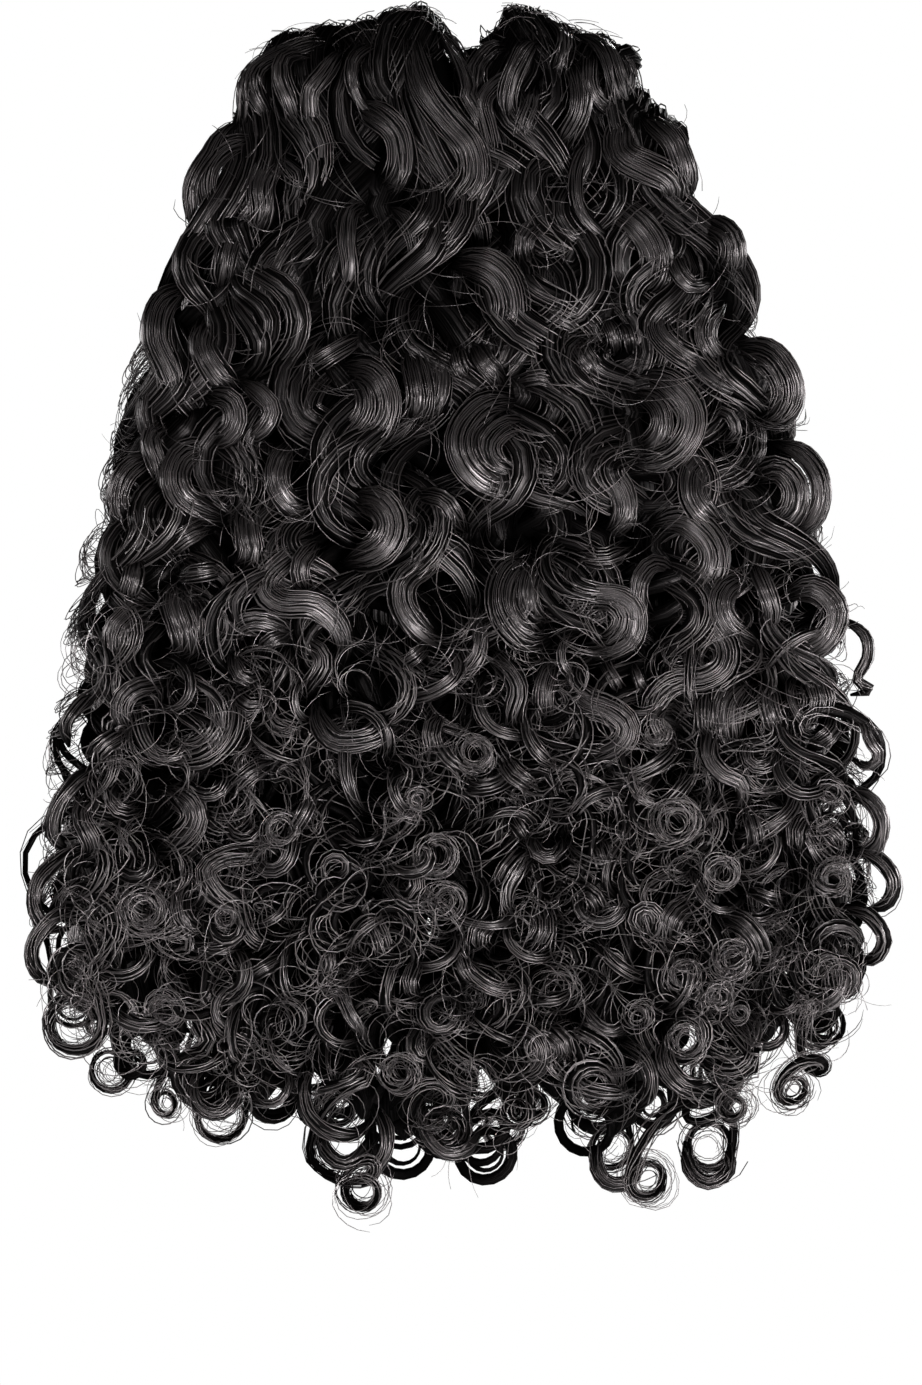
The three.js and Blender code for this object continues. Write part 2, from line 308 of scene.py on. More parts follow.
def walkWisp(wisp, end):
    # steps along one wisp: first in waves, then in coils, and last round its ring
    plan, uneven = locks[wisp["layer"]], wisp["uneven"]
    bendStep = wisp["look"]["bendStep"]
    coilStep = coils["mainStep"] if wisp["main"] else plan["coilStep"]
    coilAt = min(wisp["coilAt"], end - coils["room"])
    x, t, angle, phase, coil, ring = 0.0, wisp["start"], 0.0, wisp["phase"], 0, None
    rows = []
    while len(rows) < wave["mostRows"]:
        rows.append((x, t, phase))
        if wisp["plain"] and t > end:
            break
        if coil == 0:
            part = float(parted(t))
            lean = np.interp(t, wave["at"], wave["lean"]) * wisp["lean"] * (1 + wisp["ownLean"] * part)
            lean = lean * (1 + roam(wave["unevenLean"], t, uneven[0:2]))
            length = np.interp(t, wave["at"], wave["length"]) * wisp["pace"] * (1 + wisp["ownPace"] * part)
            length = length * (1 + roam(wave["unevenLength"], t, uneven[2:4]))
            turning = max(abs(math.cos(phase)), abs(math.cos(phase + wave["ahead"])), wave["leastBend"])
            step = float(np.clip(bendStep / (tau * lean / length * turning), *wave["steps"]))
            before, phase = phase, phase + tau * step / length
            angle = lean * math.sin(phase) - wave["home"] * x
            x, t = x + math.sin(angle) * step, t + math.cos(angle) * step
            if t > coilAt and not wisp["plain"] and phase // math.pi != before // math.pi:
                turn = 1 if math.cos(phase) > 0 else -1
                coil = turn if wisp["turn"] in (0, turn) or t > end - coils["mustTurn"] else 0
            continue
        if ring is None:
            near = float(nearEnd(t, end, coils["nearRing"]))
            radius = lerp(wisp["coil"] * (1 + roam(coils["uneven"], t, uneven[4:6])), wisp["ring"], near)
            step = coilStep * radius
            pitch = max(1 + roam(coils["unevenPitch"], t, uneven[1:3]), coils["leastPitch"])
            falling = wisp["coilPitch"] * pitch / (tau * radius)
            aside = roam(coils["aside"], t, uneven[3:5]) - wave["home"] * x
        else:
            radius = wisp["ring"] * lerp(*ring["close"], ring["left"] / ring["turn"])
            step = min(coilStep, coils["ringStep"]) * radius
            falling, aside = 0.0, 0.0
        angle, phase = angle + coil * step / radius, phase + step / radius
        x, t = x + (math.sin(angle) + aside) * step, t + (math.cos(angle) + falling) * step
        if ring is not None:
            ring["left"] -= step / radius
            if ring["left"] < 0:
                break
            continue
        middleX, middleT = x + coil * radius * math.cos(angle), t - coil * radius * math.sin(angle)
        if middleT > end - coils["startsAt"] and math.cos(angle) > coils["facing"]:
            turn = (coils["ringTurns"] if wisp["main"] else wisp["curlIn"]) * tau
            close = coils["mainClose"] if wisp["main"] else coils["close"]
            ring = dict(x=middleX, t=middleT, turn=turn, left=turn, close=close)
    x, t, phase = np.array(rows).T
    return x, t, phase, ring


def waysAlong(paths, out):  # across a run of points, and out of the hair
    along = unit(np.gradient(paths, axis=-2))
    across = unit(np.cross(along, np.array(out)))
    return across, np.cross(across, along)


def distances(paths):  # along a run of points, or along the mean of several
    steps = np.atleast_2d(np.linalg.norm(np.diff(paths, axis=-2), axis=-1))
    return np.concatenate([[0], np.cumsum(steps.mean(axis=0))])


# how a wisp lies in the hair, by distance down from the crest or up from its end, and its painted light and
# shade
lay = dict(
    settle=(90, 8), asideUntil=(25, 75), toRing=(120, 12), bulgeFrom=(10, 60), partedBulge=0.6,
    wander=(3.2, 120), wanderFrom=(20, 90), sway=(2.4, 150), swayFrom=(40, 120), swell=0.36, partedSwell=0.7,
    tip=(75, 25), tipWide=1.9, partedWide=0.36, partedBeside=0.45, thick=(0.34, 0.8), taper=(-2, 40),
    tipTaper=0.25, plainWide=(0.3, 1.04), plainWideBy=170, plainThick=2.2, plainTaper=(-0.6, 20),
    sideBand=9, tipBand=14,
)
litLook = dict(
    forward=0.9, outward=0.1, wander=0.45, lift=(-0.35, 1.25), least=0.012, plain=0.4, crown=0.4,
    crownBy=(4, 60),
)


def followWisp(wisp):
    # one wisp in space, with the ways across it and out of the hair, its widths and its painted shade
    _, _, zero = lineOf(wisp, np.zeros(1))
    end = zero - wisp["tipZ"]
    x, t, phase, ring = walkWisp(wisp, end)
    if ring:
        t = t + (end - ring["t"]) * nearEnd(t, ring["t"], lay["settle"])
    line, out, _ = lineOf(wisp, t, x * (1 - smooth(t, *lay["asideUntil"])))
    if wisp["main"] and ring:
        there, _, _ = lineOf(wisp, np.array([end]))
        move = wisp["ringX"] - there[0, 0] - ring["x"]
        x = x + move * nearEnd(t, end, lay["toRing"])
    part = parted(t)
    forward = np.cos(phase - wisp["bulgePhase"]) * smooth(t, *lay["bulgeFrom"])
    deep = wisp["bulge"] * lerp(1.0, lay["partedBulge"], part) * forward
    deep = deep + roam(lay["wander"], t, wisp["wander"][0:2]) * smooth(t, *lay["wanderFrom"])
    sway = roam(lay["sway"], t, wisp["wander"][2:4]) * smooth(t, *lay["swayFrom"])
    line = line + out * deep[:, None]
    line[:, 0] = heldIn(line[:, 0] + x + sway, line[:, 2])
    across, rise = waysAlong(line, out)
    swell = 1 + lay["swell"] * forward * (1 - lay["partedSwell"] * part)
    tip = nearEnd(t, end, lay["tip"])
    line = line + across * (wisp["beside"] * lerp(1.0, lay["partedBeside"], part) * swell)[:, None]
    s = distances(line)
    if wisp["plain"]:
        taper = np.sqrt(smooth(s[-1] - s, *lay["plainTaper"]))
        wide = wisp["wide"] * lerp(*lay["plainWide"], smooth(t, 0, lay["plainWideBy"]))
        thick = lay["plainThick"] * taper
        # plain layers get one even painted shade
        shade = np.full_like(t, litLook["plain"])
    else:
        taper = lerp(lay["tipTaper"], 1.0, smooth(s[-1] - s, *lay["taper"]))
        wide = wisp["wide"] * (lerp(1.0, lay["partedWide"], part) * swell)
        wide = wide * lerp(1.0, lay["tipWide"], tip) if wisp["main"] else wide
        thick = wide * taper * lerp(*lay["thick"], part)
        # painted shade: darker where the wisp dives in, in a deeper sheet and near the crest
        lift = litLook["forward"] * forward + litLook["outward"] * wisp["outward"]
        lift = lift + litLook["wander"] * drift(t, lay["wander"][1], wisp["wander"][0:2])
        shade = lerp(litLook["least"], 1.0, smooth(lift, *litLook["lift"]))
        shade = shade * wisp["look"]["lit"]
        shade = shade * lerp(litLook["crown"], 1.0, smooth(t, *litLook["crownBy"]))
    left, right = fanSides(line[:, 2])
    atSide = (line[:, 0] < left + lay["sideBand"]) | (line[:, 0] > right - lay["sideBand"])
    atSide = atSide | (line[:, 2] < fanBottom(wisp["q"]) + lay["tipBand"])
    return dict(
        line=line, across=across, rise=rise, wide=wide * taper, thick=thick, s=s, t=t, part=part, tip=tip,
        shade=shade, atSide=atSide)


# tubes round a run of points: closed, in a frame carried by the wisp
def sweep(paths, across, rise, wide, thick, sides):
    corners = []
    for c in range(sides):
        angle = (c + 0.5 * (sides % 2)) * tau / sides
        beside, above = (wide * math.cos(angle))[..., None], (thick * math.sin(angle))[..., None]
        corners.append(paths + beside * across + above * rise)
    return np.stack(corners, -2)  # strand, point, corner, xyz


bakeRoom = dict(sides=(0.04, 0.96), capMiddle=0.5, capWide=0.3, capTall=0.001)  # in a strand's own column


class HairMesh:
    def __init__(self, name):
        self.name = name
        self.verts, self.loops, self.sizes, self.uv = [], [], [], []
        self.values = dict(strandTone=[], alongStrand=[], acrossLock=[], paintedLightShare=[])
        self.count, self.column, self.strands = 0, 0.0, 0

    def add(self, corners, s, shade, tones, girth=0.0):  # a bundle has a girth, a single strand none
        n, p, k, _ = corners.shape
        columns, shape = k if girth else 1, (n, p - 1, k)
        self.verts.append(corners.reshape(-1, 3))
        starts = (self.count + np.arange(n) * p * k)[:, None, None]
        row, c = np.arange(p - 1)[None, :, None] * k, np.arange(k)[None, None, :]
        low, beside = starts + row + c, starts + row + (c + 1) % k
        self.loops.append(np.stack([low, low + k, beside + k, beside], -1).reshape(-1))
        self.sizes.append(np.full(n * (p - 1) * k, 4))
        foot, head = starts[:, 0] + c[0], starts[:, 0] + (p - 1) * k + c[0, :, ::-1]
        self.loops.append(np.concatenate([foot, head]).reshape(-1))
        self.sizes.append(np.full(2 * n, k))
        left = self.column + np.arange(n)[:, None, None] * columns
        u0, u1 = (np.broadcast_to(left + (c + side) * columns / k, shape) for side in bakeRoom["sides"])
        v = (s / s[-1])[None, :, None]
        v0, v1 = np.broadcast_to(v[:, :-1], shape), np.broadcast_to(v[:, 1:], shape)
        quad = [np.stack(corner, -1) for corner in ((u0, v0), (u0, v1), (u1, v1), (u1, v0))]
        self.uv.append(np.stack(quad, 3).reshape(-1, 2))
        turn, tall = np.arange(k) / k * tau, bakeRoom["capTall"]
        wide = bakeRoom["capMiddle"] + bakeRoom["capWide"] * np.cos(turn)
        cap = np.stack([wide, tall + tall * np.sin(turn)], -1)
        for flat in (cap, cap[::-1] * (1, -1) + (0, 1)):
            self.uv.append((flat * (columns, 1) + left * (1, 0)).reshape(-1, 2))
        across = np.abs(np.arange(k) - k / 2) * girth if girth else np.full(k, -1.0)
        self.values["strandTone"].append(np.repeat(tones, p * k))
        self.values["alongStrand"].append(np.tile(np.repeat(s, k), n))
        self.values["acrossLock"].append(np.tile(across, n * p))
        # painted shade share per point: 1 is the lit hair, lower mixes in the painted black shade
        self.values["paintedLightShare"].append(np.tile(np.repeat(shade, k), n))
        self.count += n * p * k
        self.column += n * columns
        self.strands += n

    def build(self, material):
        me = bpy.data.meshes.new(self.name)
        me.vertices.add(self.count)
        me.vertices.foreach_set("co", (np.concatenate(self.verts) * mm).ravel().astype(np.float32))
        loops, sizes = np.concatenate(self.loops), np.concatenate(self.sizes)
        me.loops.add(len(loops))
        me.loops.foreach_set("vertex_index", loops.astype(np.int32))
        me.polygons.add(len(sizes))
        me.polygons.foreach_set("loop_start", np.concatenate([[0], np.cumsum(sizes)[:-1]]).astype(np.int32))
        me.polygons.foreach_set("use_smooth", np.ones(len(sizes), bool))
        me.update(calc_edges=True)
        uv = np.concatenate(self.uv)
        uv[:, 0] /= self.column
        me.uv_layers.new(name="OFBake").data.foreach_set("uv", uv.ravel().astype(np.float32))
        for name, values in self.values.items():
            field = me.attributes.new(name, "FLOAT", "POINT")
            field.data.foreach_set("value", np.concatenate(values).astype(np.float32))
        me.materials.append(material)
        ob = bpy.data.objects.new(self.name, me)
        bpy.context.collection.objects.link(ob)
        triangles = int((sizes - 2).sum())
        print(self.name, "strands", self.strands, "triangles", triangles)
        return ob, triangles


def addTube(mesh, run, wide, thick, sides, s, shade, tone, girth=0.0):
    line, across, rise = run
    corners = sweep(line[None], across[None], rise[None], wide[None], thick[None], sides)
    mesh.add(corners, s, shade, rng.uniform(*tone, 1), girth)


wispLook = dict(  # the core of a wisp, and the fine strands that lie round it
    sideFine=0.84, ringSlim=0.66, core=(0.45, 0.1), sideLit=0.5, sideFrom=0.8, liningLit=0.22,
    coreTone=(0.1, 0.6), girth=1.1, spread=(-0.08, 1.16), wander=(0.3, 150), stray=(0.1, 0.5), strayOver=130,
    strayOut=(0.4, 2.0), over=1.1, fuzz=1.25, ringFuzz=0.6, fuzzWide=(1.9, 50), fuzzDeep=(1.5, 56),
    fuzzOut=0.4, coilsOn=4, cut=26, thin=(0.17, 0.27), end=26, endThin=0.5, tone=(0.2, 1.0),
)


def addWisp(mesh, wisp):
    look, run = wispLook, followWisp(wisp)
    line, across, rise, s = run["line"], run["across"], run["rise"], run["s"]
    edge = nearSide(wisp["q"])
    fineFrom = 0 if edge > look["sideFine"] else wisp["look"]["fineFrom"]
    few = np.array([k for k in range(len(s)) if k % 2 == 0 or run["t"][k] > fineFrom or k == len(s) - 1])
    slim = lerp(1.0, look["ringSlim"], run["tip"]) if wisp["main"] else np.ones_like(s)
    # painted shade: the core darker than its strands, the more so where the wisp has parted
    lit = run["shade"] * lerp(*look["core"], run["part"])
    if wisp["plain"] and edge > look["sideFrom"]:  # seen from the sides, so painted with less shade; the lining gets an even painted shade
        lit = np.full_like(s, look["sideLit"])
    elif wisp["layer"] == "lining":
        lit = np.full_like(s, look["liningLit"])
    core = line[few], across[few], rise[few]
    wide, thick = (slim * run["wide"])[few], (slim * run["thick"])[few]
    addTube(mesh, core, wide, thick, 4, s[few], lit[few], look["coreTone"], run["wide"].max() * look["girth"])
    n, fuzz = wisp["strands"], run["part"] * (look["ringFuzz"] if wisp["main"] else look["fuzz"])
    for i in range(n):
        own = rng.uniform(0, tau, 8)
        angle = math.pi * (look["spread"][0] + look["spread"][1] * (i + 0.5) / n)
        angle = angle + roam(look["wander"], s, own[0:2])
        stray = 0.0
        if i % 4 == 1:
            stray = rng.uniform(*look["stray"]) * (1 + drift(s, look["strayOver"], own[2:4]))
        a = run["wide"] * (1.0 + look["strayOut"][0] * stray) * np.cos(angle)
        a = a + fuzz * roam(look["fuzzWide"], s, own[4:6])
        b = run["thick"] * (look["over"] + look["strayOut"][1] * stray) * np.sin(angle)
        b = b + fuzz * look["fuzzDeep"][0] * (look["fuzzOut"] + drift(s, look["fuzzDeep"][1], own[6:8]))
        keep = len(s)
        if i % 2 and not wisp["main"]:  # every second strand ends soon after the coils begin
            coiled = int(np.searchsorted(run["t"], wisp["coilAt"])) + look["coilsOn"]
            keep = min(int(coiled + rng.uniform(0, look["cut"])), len(s))
        strand = (line + a[:, None] * across + b[:, None] * rise)[:keep], across[:keep], rise[:keep]
        ends = smooth(s[:keep], s[keep - 1] - look["end"], s[keep - 1])
        thin = rng.uniform(*look["thin"]) * lerp(1.0, look["endThin"], ends)
        addTube(mesh, strand, thin, thin, 3, s[:keep], run["shade"][:keep], look["tone"])
    if wisp["main"]:  # fine loops round the ring end
        middle = line[-int(tau / coils["mainStep"]):].mean(axis=0)
        paths = loopPaths(middle, wisp["ring"], ringLoops["hairs"], ringLoops)
        addHairs(mesh, paths, frontward, ringLoops["thin"], 1.0)
    return run


# single hairs laid side by side or round one middle
ringLoops = dict(
    hairs=11, reach=(0.5, 1.14), turns=(0.5, 1.2), off=0.16, deep=1.6, steps=16, thin=(0.1, 0.17),
)
loopLook = dict(oval=0.1, wind=(1.08, 0.84), apart=0.6)
singleLook = dict(ends=0.02, endThin=0.4, endLit=0.35, tone=(0.3, 1.3))


def loopPaths(middle, radius, count, look):
    u = np.linspace(0, 1, look["steps"])[None]
    own = rng.uniform(0, tau, (3, count, 1))
    angle = own[0] + rng.choice((-1, 1)) * u * tau * rng.uniform(*look["turns"], (count, 1))
    oval = 1 + loopLook["oval"] * np.sin(2 * angle + own[1])
    far = radius * rng.uniform(*look["reach"], (count, 1)) * oval * lerp(*loopLook["wind"], u)
    aside = radius * look["off"] * rng.normal(size=(2, count, 1))
    y = look["deep"] * (loopLook["apart"] * rng.normal(size=(count, 1)) + np.sin(angle + own[2]))
    x, z = far * np.cos(angle) + aside[0], far * np.sin(angle) + aside[1]
    return np.array(middle) + np.stack([x, y, z], -1)


def addHairs(mesh, paths, out, thin, shade, tone=singleLook["tone"]):
    n, p, _ = paths.shape
    across, rise = waysAlong(paths, out)
    full = np.sin(math.pi * np.linspace(singleLook["ends"], 1 - singleLook["ends"], p))
    wide = rng.uniform(*thin, (n, 1)) * lerp(singleLook["endThin"], 1.0, smooth(full, 0.0, 0.5))
    # painted shade: hairs darker towards their ends, where they turn into the hair
    shade = shade * lerp(singleLook["endLit"], 1.0, full)
    mesh.add(sweep(paths, across, rise, wide, wide, 3), distances(paths), shade, rng.uniform(*tone, n))


flyaways = dict(
    count=560, length=(16, 50), bend=(0.03, 0.1), curl=(0.06, 0.22), spread=1.1, steps=15, thin=(0.1, 0.165),
    endThin=0.5, past=6.0, cut=(0.5, 1.2), least=4, below=3, crown=14, overCrown=(-0.2, 0.35), curlsFrom=0.3,
    uneven=(0.8, 60), lift=0.3, out=(1.6, 2.2, 1.5), outOver=70, tone=(0.9, 1.6), start=8, stop=4, lower=0.6,
)
frizz = dict(  # short hairs along the outline
    count=420, length=(7, 17), bend=(0.05, 0.15), curl=(0.06, 0.28), spread=0.6, steps=8,
)


def addFlyaway(mesh, run, k, look):
    # one loose hair that leaves a wisp and crosses its neighbours, cut where it stands far out
    n = look["steps"]
    long = rng.uniform(*look["length"])
    step = long / n
    own = rng.uniform(0, tau, 4)
    turn = rng.choice((-1, 1))
    onward = run["line"][k + 1] - run["line"][k - 1]
    s = np.arange(n) * step
    heading = math.atan2(onward[0], -onward[2]) + look["spread"] * rng.normal()
    bend = turn * rng.uniform(*look["bend"])
    if run["t"][k] < flyaways["crown"]:  # over the crown it lies along the outline
        heading = -turn * (math.pi / 2 + rng.uniform(*flyaways["overCrown"]))
    elif run["part"][k] > flyaways["curlsFrom"]:
        bend = turn * rng.uniform(*look["curl"])
    angle = heading + np.cumsum(bend * (1 + roam(flyaways["uneven"], s, own[0:2]))) * step
    path = np.zeros((n, 3))
    path[:, 0], path[:, 2] = np.cumsum(np.sin(angle)) * step, -np.cumsum(np.cos(angle)) * step
    path += run["line"][k] + run["rise"][k] * (run["thick"][k] + flyaways["lift"])
    rest, sway, far = flyaways["out"]
    path[:, 1] += run["rise"][k][1] * (rest + sway * drift(s, flyaways["outOver"], own[2:4]) + far * s / long)
    left, right = fanSides(path[:, 2])
    q = np.clip(fanPlace(path[:, 0], path[:, 2]), 0.0, 1.0)
    top = crownTops(crownX(q))
    low = fanBottom(q) - flyaways["below"]
    past = np.max([left - path[:, 0], path[:, 0] - right, path[:, 2] - top, low - path[:, 2]], axis=0)
    out = np.nonzero(past > flyaways["past"] * rng.uniform(*flyaways["cut"]))[0]
    n = out[0] if len(out) else n
    if n < flyaways["least"]:
        return
    path, s = path[:n], s[:n]
    thin = rng.uniform(*flyaways["thin"]) * (1 - flyaways["endThin"] * s / long)
    addTube(mesh, (path, *waysAlong(path, frontward)), thin, thin, 3, s, np.ones(n), flyaways["tone"])


